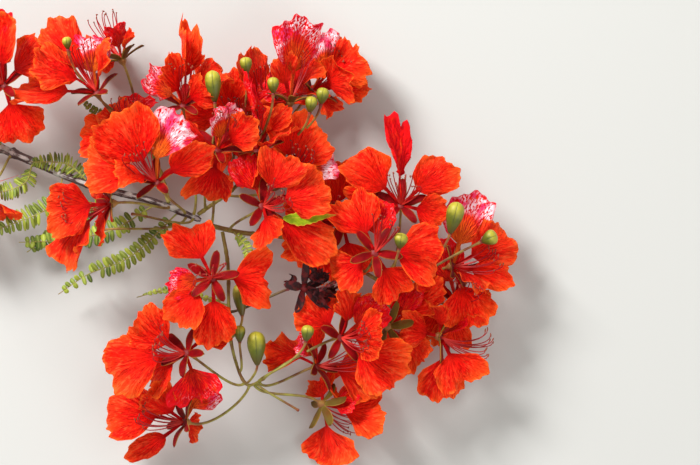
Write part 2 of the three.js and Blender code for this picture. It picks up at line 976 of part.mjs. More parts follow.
const stems = Object.entries(STEMS).map(([name, { points, colour }]) => {
  const steps = 2 * points.length;
  const radiusAt = (share) => stemRadius(name, share);
  const stem = skin(limbRings(stemCurves[name], steps, STEM_SIDES, radiusAt));
  addMesh(name, stem, colour);
  return stem;
});

// Everything that a petal or a leaf is cut back from, by the name of the piece it belongs to.
const rooms = new Map();

for (const [name, row] of Object.entries(BUDS)) {
  addMesh(name, bud(row, 0), "bud");
  rooms.set(name, bud(row, BLADE_ROOM));
}
for (const [name, row] of Object.entries(BARE_STALKS)) {
  addMesh(name, bareStalk(row, 0), "stalk");
  rooms.set(name, bareStalk(row, BLADE_ROOM));
}
const flowers = Object.entries({ ...BLOOMS, bloom_withered: WITHERED });
for (const [name, row] of flowers) rooms.set(name, stalkAndCup(row, BLADE_ROOM));

// Higher blooms keep whole petals, and lower ones are cut back from them.
const higher = [];
for (const [name, row] of flowers.sort(([, a], [, b]) => b.at[2] - a.at[2])) {
  const soft = (room) => [
    ...row.petals.map((petalRow) => petal(row, petalRow, room)),
    ...[...Array(SEPAL_COUNT).keys()].map((number) => sepal(row, number, room)),
    ...[...Array(STAMEN_COUNT).keys()].map((number) => stamen(row, number, room)),
  ];
  const others = [...rooms].filter(([other]) => other !== name).map(([, room]) => room);
  const cut = union(soft(false)).subtract(union([...stems, ...others, ...higher]));
  const whole = largestPiece(union([cut, stalkAndCup(row, 0)]));
  addMesh(name, whole, row === WITHERED ? "withered" : "petal");
  higher.push(union(soft(true)));
}

for (const [name, row] of Object.entries(FRONDS)) {
  const cut = frond(row).subtract(union([...stems, ...rooms.values(), ...higher]));
  addMesh(name, largestPiece(cut), "leaf");
  higher.push(frond(row));
}

export default group;
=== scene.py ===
"""A cut flowering branch of a flame tree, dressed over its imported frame.

Lengths in the rows and in the shapes are millimetres in the frame that the rows were measured in.
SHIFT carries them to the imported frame, and every mesh is written in metres.
"""

import logging
import math
from collections.abc import Callable, Iterable
from dataclasses import dataclass
from enum import Enum

import bpy
import numpy as np
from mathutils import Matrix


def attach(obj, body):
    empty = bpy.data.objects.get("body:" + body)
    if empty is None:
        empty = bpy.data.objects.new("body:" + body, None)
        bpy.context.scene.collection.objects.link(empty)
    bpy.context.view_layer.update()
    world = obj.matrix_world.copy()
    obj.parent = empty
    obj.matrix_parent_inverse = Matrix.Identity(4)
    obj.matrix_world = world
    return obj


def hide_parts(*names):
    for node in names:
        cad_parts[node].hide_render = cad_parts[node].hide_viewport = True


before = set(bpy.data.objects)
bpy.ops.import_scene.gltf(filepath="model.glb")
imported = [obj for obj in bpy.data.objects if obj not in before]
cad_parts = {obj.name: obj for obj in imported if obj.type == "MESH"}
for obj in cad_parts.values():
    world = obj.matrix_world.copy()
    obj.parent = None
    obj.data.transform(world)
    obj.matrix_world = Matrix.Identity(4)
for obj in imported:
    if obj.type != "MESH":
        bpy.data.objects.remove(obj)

LOG = logging.getLogger("flame_tree_branch")
Array = np.ndarray
Triple = tuple[float, float, float]
Pair = tuple[float, float]

MM_IN_M = 1000
FULL_TURN = 2 * math.pi
UP = np.array([0.0, 0.0, 1.0])

# As in the part's source, in millimetres and degrees.
SHIFT = np.array([103.0, 3.0, 10.5])
SEAT_GAP = 0.3  # between a stalk's foot and the stem that carries it
CLAW_HALF_WIDTH = 1.3
ROOT_REACH = 2.6  # from where the petals meet to where each of them starts
SEPAL_COUNT = 5
SEPAL_LENGTH = 23.0
SEPAL_HALF_WIDTH = 3.2
SEPAL_SPREAD = 74.0  # from the way that the bloom faces
SEPAL_ARCH = 26.0
SEPAL_DROP = 2.0  # behind where the petals meet
SEPAL_REACH = 3.8  # from the middle of the cup to where each sepal starts
CUP_LENGTH = 7.0
STALK_RADIUS = 1.15
STAMEN_LENGTH = 44.0
STAMEN_SPREAD = 34.0  # between the outer ones
STAMEN_SAG = 0.15  # of its length, before it curls up
LEAFLET_LEAN = 0.3  # of a leaflet's length, towards the frond's tip

# For the dressed pieces alone.
CLAW_SHARE = 0.29  # of a petal's length, before its fan starts
FAN_SPREAD = 64.0  # of each half of the fan
MOSTLY_RED = 0.08  # the tint of a standard that is not listed as paler
FLOOR_CLEAR = 0.25  # the least height of any point over the floor

# Where each kind's chances start.
STEM_SEED = 11
WITHERED_SEED = 77
BLOOM_SEED = 100
FROND_SEED = 300


@dataclass(frozen=True)
class Seat:
    """Where a stalk starts: its stem, the share of the stem's length and the turn round it."""

    stem: str
    share: float
    around: float = 0.0


@dataclass(frozen=True)
class StemRow:
    """A stem's centre line and its radius at both ends."""

    points: tuple[Triple, ...]
    radii: Pair


@dataclass(frozen=True)
class PetalRow:
    """One petal: where its tip aims and lifts, its length, width, turn, arch and fold."""

    aim: float
    lift: float
    length: float
    width: float
    turn: float = 0.0
    arch: float = 30.0
    fold: float = 0.0


@dataclass(frozen=True)
class BloomRow:
    """One bloom: where its petals meet, the way it faces, its calyx's turn, its seat and petals."""

    at: Triple
    faces: Pair
    turn: float
    seat: Seat
    petals: tuple[PetalRow, ...]
    stamens: Triple | None = None


@dataclass(frozen=True)
class BudRow:
    """One bud: its foot, its tip, its radius and its seat."""

    base: Triple
    tip: Triple
    radius: float
    seat: Seat


@dataclass(frozen=True)
class BareStalkRow:
    """A stalk that has lost its bloom: its end and its seat."""

    end: Triple
    seat: Seat


@dataclass(frozen=True)
class FrondRow:
    """One frond: its rib after its foot, its leaflets' pairs and length, and its seat.

    The pairs are those of the part's source.
    """

    points: tuple[Triple, ...]
    pairs: int
    leaflet: float
    seat: Seat


@dataclass(frozen=True)
class Profile:
    """How a width changes along a piece: its sizes at shares of the length."""

    shares: tuple[float, ...]
    sizes: tuple[float, ...]

    def at(self, share: Array) -> Array:
        """Return the size at each share."""
        return np.interp(share, self.shares, self.sizes)


STEMS: dict[str, StemRow] = {
    "branch": StemRow(
        points=(
            (-303, 75, 4.2), (-280, 67, 7), (-258, 58, 12.1), (-220, 42, 21.2),
            (-190, 33, 27.3), (-158, 25, 31.1), (-120, 10, 34.2),
        ),
        radii=(3.8, 2.5),
    ),
    "stem_east": StemRow(
        points=(
            (-116.4, 6.6, 34.3), (-88, 0, 34), (-48, -5, 30.9), (-4, -23, 23.1),
            (40, -50, 15.4),
        ),
        radii=(2.1, 1.5),
    ),
    "stem_south": StemRow(
        points=(
            (-102.6, 0.4, 32.5), (-98, -26, 39.3), (-97, -62, 45.2), (-93, -98, 46.7),
            (-82, -122, 45.3), (-68, -117, 41.5),
        ),
        radii=(1.6, 1.2),
    ),
    "stem_north": StemRow(
        points=(
            (-122, 14.6, 32.5), (-96, 34, 19.1), (-72, 56, 10), (-52, 78, 5.4),
        ),
        radii=(1.7, 1.3),
    ),
    "stem_northwest": StemRow(
        points=(
            (-146, 23.6, 29.6), (-152, 46, 22.4), (-166, 76, 20.2), (-178, 98, 19.8),
        ),
        radii=(1.7, 1.3),
    ),
}

BLOOMS: dict[str, BloomRow] = {
    "bloom_star_west": BloomRow(
        at=(-109, -36, 80), faces=(100, 80), turn=88,
        seat=Seat("stem_south", 0.72),
        petals=(
            PetalRow(192, -14, 42, 24, 10),
            PetalRow(118, -14, 53, 41, arch=40),
            PetalRow(-3, -22, 56, 42, arch=46),
            PetalRow(275, -8, 59, 34, 10, 26),
            PetalRow(228, 4, 52, 34, arch=24),
        ),
    ),
    "bloom_southwest": BloomRow(
        at=(-131, -96, 63), faces=(150, 52), turn=20,
        seat=Seat("stem_south", 0.87),
        petals=(
            PetalRow(-66, -14, 44, 42, arch=36),
            PetalRow(190, 4, 72, 49, arch=26),
            PetalRow(148, 6, 55, 37, -10, 34),
            PetalRow(222, -24, 46, 35, arch=36),
            PetalRow(36, -8, 46, 37, 20, 40),
        ),
    ),
    "bloom_south": BloomRow(
        at=(-133, -152, 36), faces=(165, 28), turn=60,
        seat=Seat("stem_south", 0.9),
        petals=(
            PetalRow(60, 14, 44, 34, 45, 36),
            PetalRow(171, -6, 71, 46, arch=20),
            PetalRow(216, -10, 62, 19, -50, 24),
            PetalRow(138, 26, 48, 30, 50, 24),
            PetalRow(330, -60, 26, 26),
        ),
    ),
    "bloom_west": BloomRow(
        at=(-190, 23, 77), faces=(186, 22), turn=30,
        seat=Seat("branch", 0.86),
        petals=(
            PetalRow(112, -32, 46, 30),
            PetalRow(188, 10, 54, 47),
            PetalRow(229, -2, 67, 54, arch=36),
            PetalRow(128, -50, 40, 30),
            PetalRow(244, -34, 32, 32),
        ),
    ),
    "bloom_centre_west": BloomRow(
        at=(-153, 40, 88), faces=(120, 46), turn=10,
        seat=Seat("branch", 0.93),
        petals=(
            PetalRow(80, 12, 62, 41, arch=34),
            PetalRow(168, 36, 42, 35, arch=36),
            PetalRow(34, 22, 58, 30, 66, 20),
            PetalRow(122, 10, 70, 53),
            PetalRow(169, -4, 66, 46, arch=34),
        ),
    ),
    "bloom_behind_west": BloomRow(
        at=(-172, 72, 45), faces=(116, 22), turn=0,
        seat=Seat("stem_northwest", 0.55),
        petals=(
            PetalRow(90, -22, 44, 30),
            PetalRow(171, 4, 47, 39, -55, 34),
            PetalRow(128, -4, 40, 33),
            PetalRow(212, -36, 46, 35),
            PetalRow(34, -36, 44, 32),
        ),
        stamens=(104, 20, 44),
    ),
    "bloom_north_west": BloomRow(
        at=(-202, 112, 63), faces=(120, 30), turn=20,
        seat=Seat("stem_northwest", 0.8),
        petals=(
            PetalRow(93, -10, 50, 39),
            PetalRow(72, 28, 46, 39, 10, 28),
            PetalRow(155, 16, 64, 40),
            PetalRow(184, -12, 72, 44, arch=22),
            PetalRow(128, -12, 82, 34, 24, 24),
        ),
        stamens=(112, 18, 46),
    ),
    "bloom_north_far": BloomRow(
        at=(-184, 140, 29), faces=(112, -6), turn=40,
        seat=Seat("stem_northwest", 0.98),
        petals=(
            PetalRow(96, 12, 30, 26, 20),
            PetalRow(66, 22, 28, 23, 50),
            PetalRow(150, -30, 40, 32),
            PetalRow(170, -30, 46, 35),
            PetalRow(200, -55, 38, 28),
        ),
    ),
    "bloom_far_west": BloomRow(
        at=(-277, 118, 53), faces=(120, 50), turn=10,
        seat=Seat("branch", 0.1),
        petals=(
            PetalRow(104, 6, 70, 39),
            PetalRow(84, 18, 60, 39),
            PetalRow(42, 10, 50, 44, arch=24),
            PetalRow(290, -6, 52, 42, arch=24),
            PetalRow(196, -10, 56, 42),
        ),
    ),
    "bloom_low_west": BloomRow(
        at=(-296, 36, 43), faces=(200, 40), turn=0,
        seat=Seat("branch", 0.16),
        petals=(
            PetalRow(150, -20, 46, 32),
            PetalRow(20, -40, 40, 34, arch=24),
            PetalRow(312, -40, 44, 36, arch=24),
            PetalRow(250, -30, 52, 39),
            PetalRow(196, -20, 50, 37),
        ),
    ),
    "bloom_north": BloomRow(
        at=(-133, 102, 58), faces=(92, 40), turn=30,
        seat=Seat("branch", 0.965),
        petals=(
            PetalRow(148, 14, 40, 35, arch=34),
            PetalRow(92, -4, 75, 30, 40, 20, fold=46),
            PetalRow(116, 30, 48, 34),
            PetalRow(40, 2, 46, 42, arch=34),
            PetalRow(34, 46, 40, 28, 70, 20),
        ),
    ),
    "bloom_centre": BloomRow(
        at=(-105, 66, 74), faces=(78, 40), turn=18,
        seat=Seat("stem_east", 0.03),
        petals=(
            PetalRow(86, 34, 42, 30),
            PetalRow(152, 12, 42, 35, 10),
            PetalRow(30, 30, 46, 30, 56, 24),
            PetalRow(-14, -40, 40, 30),
            PetalRow(259, -30, 53, 35, arch=20),
        ),
    ),
    "bloom_centre_north": BloomRow(
        at=(-74, 66, 56), faces=(100, 30), turn=10,
        seat=Seat("stem_north", 0.42),
        petals=(
            PetalRow(102, 14, 70, 30, 60, 16, fold=30),
            PetalRow(22, 44, 40, 35),
            PetalRow(247, 26, 38, 30),
            PetalRow(60, -10, 46, 35),
            PetalRow(168, -40, 42, 30),
        ),
    ),
    "bloom_north_behind": BloomRow(
        at=(-70, 98, 20), faces=(96, 24), turn=0,
        seat=Seat("stem_north", 0.8),
        petals=(
            PetalRow(60, -30, 46, 30),
            PetalRow(109, 12, 55, 41, arch=20),
            PetalRow(160, -20, 48, 35),
            PetalRow(20, -30, 46, 35),
            PetalRow(250, -30, 42, 32),
        ),
    ),
    "bloom_centre_east": BloomRow(
        at=(-69, 21, 80), faces=(40, 66), turn=15,
        seat=Seat("stem_east", 0.12),
        petals=(
            PetalRow(112, -14, 46, 34),
            PetalRow(13, 2, 58, 44, arch=34),
            PetalRow(-38, -4, 70, 39),
            PetalRow(290, 34, 38, 26, 60, 24),
            PetalRow(66, 8, 50, 36),
        ),
    ),
    "bloom_centre_high": BloomRow(
        at=(-50, 44, 41), faces=(60, 50), turn=45,
        seat=Seat("stem_north", 0.3),
        petals=(
            PetalRow(18, 2, 44, 30),
            PetalRow(88, 10, 60, 39, arch=26),
            PetalRow(53, 4, 50, 38, arch=26),
            PetalRow(140, -36, 44, 32),
            PetalRow(-60, -46, 42, 32),
        ),
    ),
    "bloom_north_east": BloomRow(
        at=(-48, 106, 39), faces=(84, 4), turn=12,
        seat=Seat("stem_north", 0.97),
        petals=(
            PetalRow(80, 10, 74, 44, arch=20),
            PetalRow(101, 18, 42, 23, 76, 20),
            PetalRow(62, -30, 48, 35),
            PetalRow(200, -50, 40, 30),
            PetalRow(22, -52, 44, 32),
        ),
    ),
    "bloom_far_north_east": BloomRow(
        at=(-30, 115, 15), faces=(50, 16), turn=30,
        seat=Seat("stem_north", 0.9),
        petals=(
            PetalRow(68, -4, 52, 30, arch=24),
            PetalRow(44, 10, 54, 48, arch=20),
            PetalRow(20, 46, 48, 44, -48, 36),
            PetalRow(4, 4, 50, 26, 40, 20),
            PetalRow(310, 0, 28, 24, 20),
        ),
    ),
    "bloom_east_high": BloomRow(
        at=(41, 22, 39), faces=(88, 62), turn=34,
        seat=Seat("stem_east", 0.93),
        petals=(
            PetalRow(103, 8, 74, 25, 62, 22, fold=34),
            PetalRow(138, 6, 62, 42, arch=36),
            PetalRow(44, 4, 56, 34, 30, 36),
            PetalRow(-13, 10, 40, 28, 30, 36),
            PetalRow(191, 0, 44, 37, arch=36),
        ),
    ),
    "bloom_east_star": BloomRow(
        at=(20, -16, 74), faces=(80, 76), turn=88,
        seat=Seat("stem_east", 0.8),
        petals=(
            PetalRow(84, -20, 48, 28),
            PetalRow(-4, -8, 58, 49, arch=34),
            PetalRow(-62, -20, 46, 37, arch=34),
            PetalRow(216, -8, 42, 35, arch=34),
            PetalRow(117, -10, 56, 42, arch=34),
        ),
        stamens=(70, 46, 42),
    ),
    "bloom_east": BloomRow(
        at=(83, -27, 28), faces=(14, 24), turn=20,
        seat=Seat("stem_east", 0.97),
        petals=(
            PetalRow(76, -2, 64, 39, -50, 24),
            PetalRow(31, -6, 54, 44, arch=24),
            PetalRow(-9, 2, 54, 24, 56, 26),
            PetalRow(-72, 4, 56, 40, 50, 26),
            PetalRow(-42, 40, 40, 32, 30),
        ),
    ),
    "bloom_south_east": BloomRow(
        at=(73, -84, 31), faces=(-8, 16), turn=0,
        seat=Seat("stem_east", 0.995, 50),
        petals=(
            PetalRow(40, 10, 26, 21, 30),
            PetalRow(270, -6, 56, 38, 50, 20),
            PetalRow(-66, 4, 48, 39, 55, 24),
            PetalRow(100, 30, 36, 24, 56, 20),
            PetalRow(167, 8, 38, 30),
        ),
        stamens=(-6, 8, 44),
    ),
    "bloom_south_middle": BloomRow(
        at=(-7, -84, 58), faces=(10, 62), turn=40,
        seat=Seat("stem_south", 0.99),
        petals=(
            PetalRow(41, -14, 50, 30),
            PetalRow(136, -8, 45, 43),
            PetalRow(81, 4, 46, 32, 40),
            PetalRow(6, 28, 42, 39),
            PetalRow(-41, 2, 62, 46, arch=34),
        ),
    ),
    "bloom_south_low": BloomRow(
        at=(-26, -107, 34), faces=(20, 30), turn=10,
        seat=Seat("stem_south", 0.96),
        petals=(
            PetalRow(122, 18, 32, 28),
            PetalRow(162, -10, 44, 48),
            PetalRow(100, 10, 44, 28, 64, 20),
            PetalRow(-16, -26, 56, 42),
            PetalRow(-60, -50, 44, 35),
        ),
    ),
    "bloom_back_south": BloomRow(
        at=(-22, -139, 25), faces=(-36, -34), turn=24,
        seat=Seat("stem_south", 0.93),
        petals=(
            PetalRow(10, 10, 30, 26),
            PetalRow(-4, -6, 54, 46),
            PetalRow(-85, -10, 54, 49, arch=24),
            PetalRow(30, -36, 44, 32),
            PetalRow(100, -40, 30, 26),
        ),
    ),
    "bloom_back_east": BloomRow(
        at=(31, -76, 33), faces=(-20, -50), turn=42,
        seat=Seat("stem_east", 0.985),
        petals=(
            PetalRow(60, -22, 44, 30),
            PetalRow(44, -10, 58, 42),
            PetalRow(-44, -12, 44, 34, arch=20),
            PetalRow(-80, -50, 46, 35),
            PetalRow(150, -44, 44, 32),
        ),
    ),
    "bloom_north_middle": BloomRow(
        at=(-92, 86, 28), faces=(110, 62), turn=20,
        seat=Seat("stem_north", 0.64),
        petals=(
            PetalRow(60, -8, 42, 30),
            PetalRow(108, 4, 50, 40),
            PetalRow(30, -4, 40, 32),
            PetalRow(164, 0, 52, 40),
            PetalRow(236, -20, 44, 34),
        ),
    ),
    "bloom_middle": BloomRow(
        at=(-6, 8, 24), faces=(120, 70), turn=30,
        seat=Seat("stem_east", 0.5),
        petals=(
            PetalRow(30, -10, 44, 30),
            PetalRow(100, 2, 54, 42),
            PetalRow(228, -4, 58, 41),
            PetalRow(284, -6, 50, 40),
            PetalRow(170, -4, 50, 38),
        ),
    ),
    "bloom_east_low": BloomRow(
        at=(86, -56, 18), faces=(60, 66), turn=50,
        seat=Seat("stem_east", 0.96, -40),
        petals=(
            PetalRow(108, 4, 56, 34),
            PetalRow(134, 2, 48, 40),
            PetalRow(-10, 20, 28, 28),
            PetalRow(-100, -10, 40, 34),
            PetalRow(204, -2, 46, 36),
        ),
    ),
}

WITHERED = BloomRow(
    at=(-36, -44, 56), faces=(-10, 60), turn=0,
    seat=Seat("stem_south", 0.46),
    petals=(
        PetalRow(12, 10, 26, 20, 40, 60, fold=40),
        PetalRow(40, -10, 20, 18, -30, 60, fold=40),
        PetalRow(-20, -20, 24, 18, 20, 60, fold=40),
        PetalRow(160, -20, 14, 14, arch=60, fold=40),
    ),
)

BUDS: dict[str, BudRow] = {
    "bud_north_west": BudRow((-107, 104, 84), (-109, 128, 88), 6.4, Seat("stem_north", 0.08)),
    "bud_north_tall": BudRow((-82, 127, 74), (-83, 139, 77), 4.8, Seat("stem_north", 0.36)),
    "bud_north": BudRow((-61, 111, 72), (-61, 123, 76), 4.6, Seat("stem_north", 0.5)),
    "bud_north_right": BudRow((-23, 103, 62), (-21, 115, 66), 5, Seat("stem_north", 0.94)),
    "bud_north_low": BudRow((-32, 96, 64), (-30, 108, 68), 4.8, Seat("stem_north", 0.86)),
    "bud_east_large": BudRow((80, 0, 58), (86, 24, 64), 7.2, Seat("stem_east", 0.96, 50)),
    "bud_east": BudRow((106, -7, 50), (117, -2, 54), 6.2, Seat("stem_east", 0.985, 25)),
    "bud_east_high": BudRow((39, -12, 86), (41, -1, 91), 5.4, Seat("stem_east", 0.86)),
    "bud_south_high": BudRow((-35, -86, 66), (-33, -74, 70), 5, Seat("stem_south", 0.96)),
    "bud_south_large": BudRow((-74, -105, 58), (-75, -79, 64), 7.6, Seat("stem_south", 0.88, 25)),
    "bud_south_small": BudRow((-88, -87, 60), (-88, -74, 62), 4.6, Seat("stem_south", 0.8)),
    "bud_south_old": BudRow((-86, -66, 60), (-89, -41, 60), 5.6, Seat("stem_south", 0.6)),
    "bud_far_west": BudRow((-224, 146, 74), (-225, 155, 77), 3.8, Seat("stem_northwest", 0.9)),
}

BARE_STALKS: dict[str, BareStalkRow] = {
    "bare_stalk_upper": BareStalkRow((-176, 15, 34), Seat("branch", 0.97, -25)),
    "bare_stalk_lower": BareStalkRow((-200, 2, 30), Seat("branch", 0.94)),
    "bare_stalk_south": BareStalkRow((-41, -143, 40), Seat("stem_south", 0.94, -50)),
}

FRONDS: dict[str, FrondRow] = {
    "frond_upper": FrondRow(((-228, 55, 23), (-258, 57, 25)), 8, 9, Seat("branch", 0.5)),
    "frond_left": FrondRow(((-238, 24, 22), (-290, 0, 18)), 7, 11, Seat("branch", 0.4)),
    "frond_middle": FrondRow(
        ((-192, 2, 24), (-230, -6, 18), (-268, -8, 12)), 8, 10, Seat("branch", 0.8)
    ),
    "frond_lower": FrondRow(
        ((-178, -20, 26), (-212, -34, 20), (-236, -50, 14)), 8, 9, Seat("branch", 0.9)
    ),
    "frond_north": FrondRow(((-200, 94, 26), (-217, 107, 28)), 5, 6, Seat("stem_northwest", 0.7)),
    "frond_south": FrondRow(((-145, -46, 44), (-171, -52, 42)), 5, 3.4, Seat("stem_south", 0.42)),
    "frond_middle_small": FrondRow(((-82, -14, 56), (-80, -34, 58)), 5, 5, Seat("stem_east", 0.14)),
    "frond_west": FrondRow(((-262, 40, 26), (-296, 28, 26)), 7, 9, Seat("branch", 0.26)),
    "frond_low_west": FrondRow(((-226, 8, 12), (-262, -16, 8)), 7, 10, Seat("branch", 0.62)),
}

# How pale each standard is, where it is not mostly red.
STANDARD_TINTS = {
    "bloom_centre_west": 0.95,
    "bloom_north_west": 0.85,
    "bloom_north": 0.5,
    "bloom_north_east": 0.45,
    "bloom_far_north_east": 0.9,
    "bloom_centre": 0.7,
    "bloom_centre_high": 0.95,
    "bloom_east": 0.7,
    "bloom_south": 0.5,
    "bloom_star_west": 0.35,
    "bloom_east_high": 0.0,
    "bloom_south_low": 0.4,
}

BUD_OUTLINE = Profile(
    (0.0, 0.04, 0.14, 0.28, 0.42, 0.55, 0.7, 0.82, 0.91, 0.97, 1.0),
    (0.24, 0.33, 0.5, 0.7, 0.86, 0.97, 1.0, 0.92, 0.75, 0.48, 0.15),
)
LEAFLET_OUTLINE = Profile((0.0, 0.12, 0.45, 0.8, 1.0), (0.25, 0.8, 1.0, 0.85, 0.3))
BROAD_LEAF_OUTLINE = Profile(
    (0.0, 0.08, 0.3, 0.55, 0.8, 0.93, 1.0), (0.12, 0.55, 1.0, 0.78, 0.34, 0.16, 0.03)
)


def vector(row: Iterable[float]) -> Array:
    """Return a row of numbers as a vector."""
    return np.array(list(row), dtype=float)


def unit(vectors: Array) -> Array:
    """Return vectors at length one."""
    return vectors / np.maximum(np.linalg.norm(vectors, axis=-1, keepdims=True), 1e-9)


def heading(aim: float, lift: float) -> Array:
    """Return the direction with an aim in plan and a lift over the level.

    Args:
        aim: degrees anticlockwise from +X.
        lift: degrees above the level.

    Returns:
        A unit vector.
    """
    level = math.cos(math.radians(lift))
    return np.array(
        [
            level * math.cos(math.radians(aim)),
            level * math.sin(math.radians(aim)),
            math.sin(math.radians(lift)),
        ]
    )


def square_to(direction: Array, towards: Array) -> Array:
    """Return the part of towards that is square to direction, as a unit vector."""
    return unit(towards - direction * float(np.dot(towards, direction)))


def spun(arm: Array, axis: Array, degrees: float) -> Array:
    """Return a vector turned about a unit axis by the right-hand rule.

    Args:
        arm: the vector.
        axis: what it turns about.
        degrees: how far it turns.

    Returns:
        The turned vector.
    """
    turn = math.radians(degrees)
    return (
        arm * math.cos(turn)
        + np.cross(axis, arm) * math.sin(turn)
        + axis * float(np.dot(axis, arm)) * (1 - math.cos(turn))
    )


def ease(low: float, high: float, value: Array) -> Array:
    """Return 0 below low, 1 above high and a smooth rise between."""
    share = np.clip((value - low) / (high - low), 0.0, 1.0)
    return share * share * (3 - 2 * share)


class Path:
    """A smooth centre line, kept as many dots at even steps along it."""

    STEPS = 400
    SPAN_DOTS = 60
    CURVE_DOTS = 120

    def __init__(self, dots: Array) -> None:
        """Space the dots evenly.

        Args:
            dots: points along the line, at any spacing.
        """
        gaps = np.linalg.norm(np.diff(dots, axis=0), axis=1)
        run = np.concatenate([[0.0], np.cumsum(gaps)])
        self.length = float(run[-1])
        even = np.linspace(0.0, self.length, self.STEPS + 1)
        self.dots = np.stack([np.interp(even, run, dots[:, axis]) for axis in range(3)], axis=1)

    @classmethod
    def through(cls, points: Iterable[Iterable[float]]) -> "Path":
        """Return the centripetal Catmull-Rom line through points.

        Args:
            points: the points that the line passes.

        Returns:
            The path.
        """
        given = np.array([list(point) for point in points], dtype=float)
        ends = np.concatenate([[2 * given[0] - given[1]], given, [2 * given[-1] - given[-2]]])
        local = np.linspace(0.0, 1.0, cls.SPAN_DOTS)[:, None]
        spans = []
        for first, start, end, last in zip(ends, ends[1:], ends[2:], ends[3:]):
            pairs = ((first, start), (start, end), (end, last))
            before, span, after = (math.sqrt(np.linalg.norm(b - a)) for a, b in pairs)
            into = (start - first) / before - (end - first) / (before + span) + (end - start) / span
            out = (end - start) / span - (last - start) / (span + after) + (last - end) / after
            into, out = into * span, out * span
            spans.append(
                start
                + into * local
                + (-3 * start + 3 * end - 2 * into - out) * local**2
                + (2 * start - 2 * end + into + out) * local**3
            )
        return cls(np.concatenate(spans))

    @classmethod
    def bezier(cls, *controls: Array) -> "Path":
        """Return the Bezier line with three or four control points.

        Args:
            controls: the points, of which the line passes the first and the last.

        Returns:
            The path.
        """
        share = np.linspace(0.0, 1.0, cls.CURVE_DOTS)[:, None]
        degree = len(controls) - 1
        dots = sum(
            math.comb(degree, index) * (1 - share) ** (degree - index) * share**index * control
            for index, control in enumerate(controls)
        )
        return cls(dots)

    def at(self, shares: Array | float) -> Array:
        """Return points of the line.

        Args:
            shares: shares of its length.

        Returns:
            The points.
        """
        place = np.clip(np.asarray(shares, dtype=float), 0.0, 1.0) * self.STEPS
        low = np.minimum(place.astype(int), self.STEPS - 1)
        part = (place - low)[..., None]
        return self.dots[low] * (1 - part) + self.dots[low + 1] * part

    def along(self, shares: Array | float) -> Array:
        """Return directions of the line.

        Args:
            shares: shares of its length.

        Returns:
            The unit vectors.
        """
        step = 2.0 / self.STEPS
        place = np.asarray(shares, dtype=float)
        return unit(self.at(np.minimum(place + step, 1)) - self.at(np.maximum(place - step, 0)))


@dataclass
class Patch:
    """One piece of a mesh.

    place holds three numbers for each point, mostly the share along the piece, the share across it
    and 1 on its front or 0 on its back. tint is a number that is the same over the patch.
    """

    points: Array
    faces: list[tuple[int, ...]]
    place: Array
    tint: float = 0.5


def grid_faces(rows: int, columns: int, closed: bool = False) -> Array:
    """Return the four-sided faces of a grid of points.

    Args:
        rows: how many rows of points.
        columns: how many points in a row.
        closed: whether each row runs round to its own start.

    Returns:
        The point numbers of each face.
    """
    row, column = np.meshgrid(np.arange(rows - 1), np.arange(columns - (not closed)), indexing="ij")
    after = (column + 1) % columns
    return np.stack(
        [
            row * columns + column,
            (row + 1) * columns + column,
            (row + 1) * columns + after,
            row * columns + after,
        ],
        axis=-1,
    ).reshape(-1, 4)


def sheet_patch(middle: Array, thickness: Array, across: Array, tint: float) -> Patch:
    """Return a thin closed sheet about a grid of points.

    Args:
        middle: the grid, rows by columns by three.
        thickness: the sheet's thickness at each point.
        across: each point's two shares, rows by columns by two.
        tint: the patch's own number.

    Returns:
        The patch, with its front where the grid's rows turn anticlockwise into its columns.
    """
    rows, columns = middle.shape[:2]
    down = np.gradient(middle, axis=0)
    over = np.gradient(middle, axis=1)
    normal = unit(np.cross(down, over))
    half = normal * thickness[..., None] / 2
    front = (middle + half).reshape(-1, 3)
    back = (middle - half).reshape(-1, 3)
    count = rows * columns
    faces = grid_faces(rows, columns)
    numbers = np.arange(count).reshape(rows, columns)
    loop = np.concatenate(
        [numbers[:-1, 0], numbers[-1, :-1], numbers[:0:-1, -1], numbers[0, :0:-1]]
    )
    after = np.roll(loop, -1)
    rim = np.stack([loop, loop + count, after + count, after], axis=1)
    every = np.concatenate([faces, faces[:, ::-1] + count, rim])
    shares = across.reshape(-1, 2)
    place = np.concatenate(
        [
            np.column_stack([shares, np.ones(count)]),
            np.column_stack([shares, np.zeros(count)]),
        ]
    )
    named = [tuple(face) for face in every.tolist()]
    return Patch(np.concatenate([front, back]), named, place, tint)


def rolled(flat: Array, start: float, bend: float) -> tuple[Array, Array]:
    """Roll up the part of a sheet that lies past a line.

    Args:
        flat: each point's distance on the flat sheet.
        start: the distance where the roll starts.
        bend: the roll's curvature, which is below 0 where it rolls down.

    Returns:
        Each point's distance once rolled, and how far it rises.
    """
    past = np.maximum(flat - start, 0.0)
    turn = past * bend
    straight = np.abs(turn) < 1e-4
    safe = np.where(straight, 1.0, turn)
    level = np.where(straight, past, past * np.sin(safe) / safe)
    lift = np.where(straight, 0.0, past * (1 - np.cos(safe)) / safe)
    return flat - past + level, lift


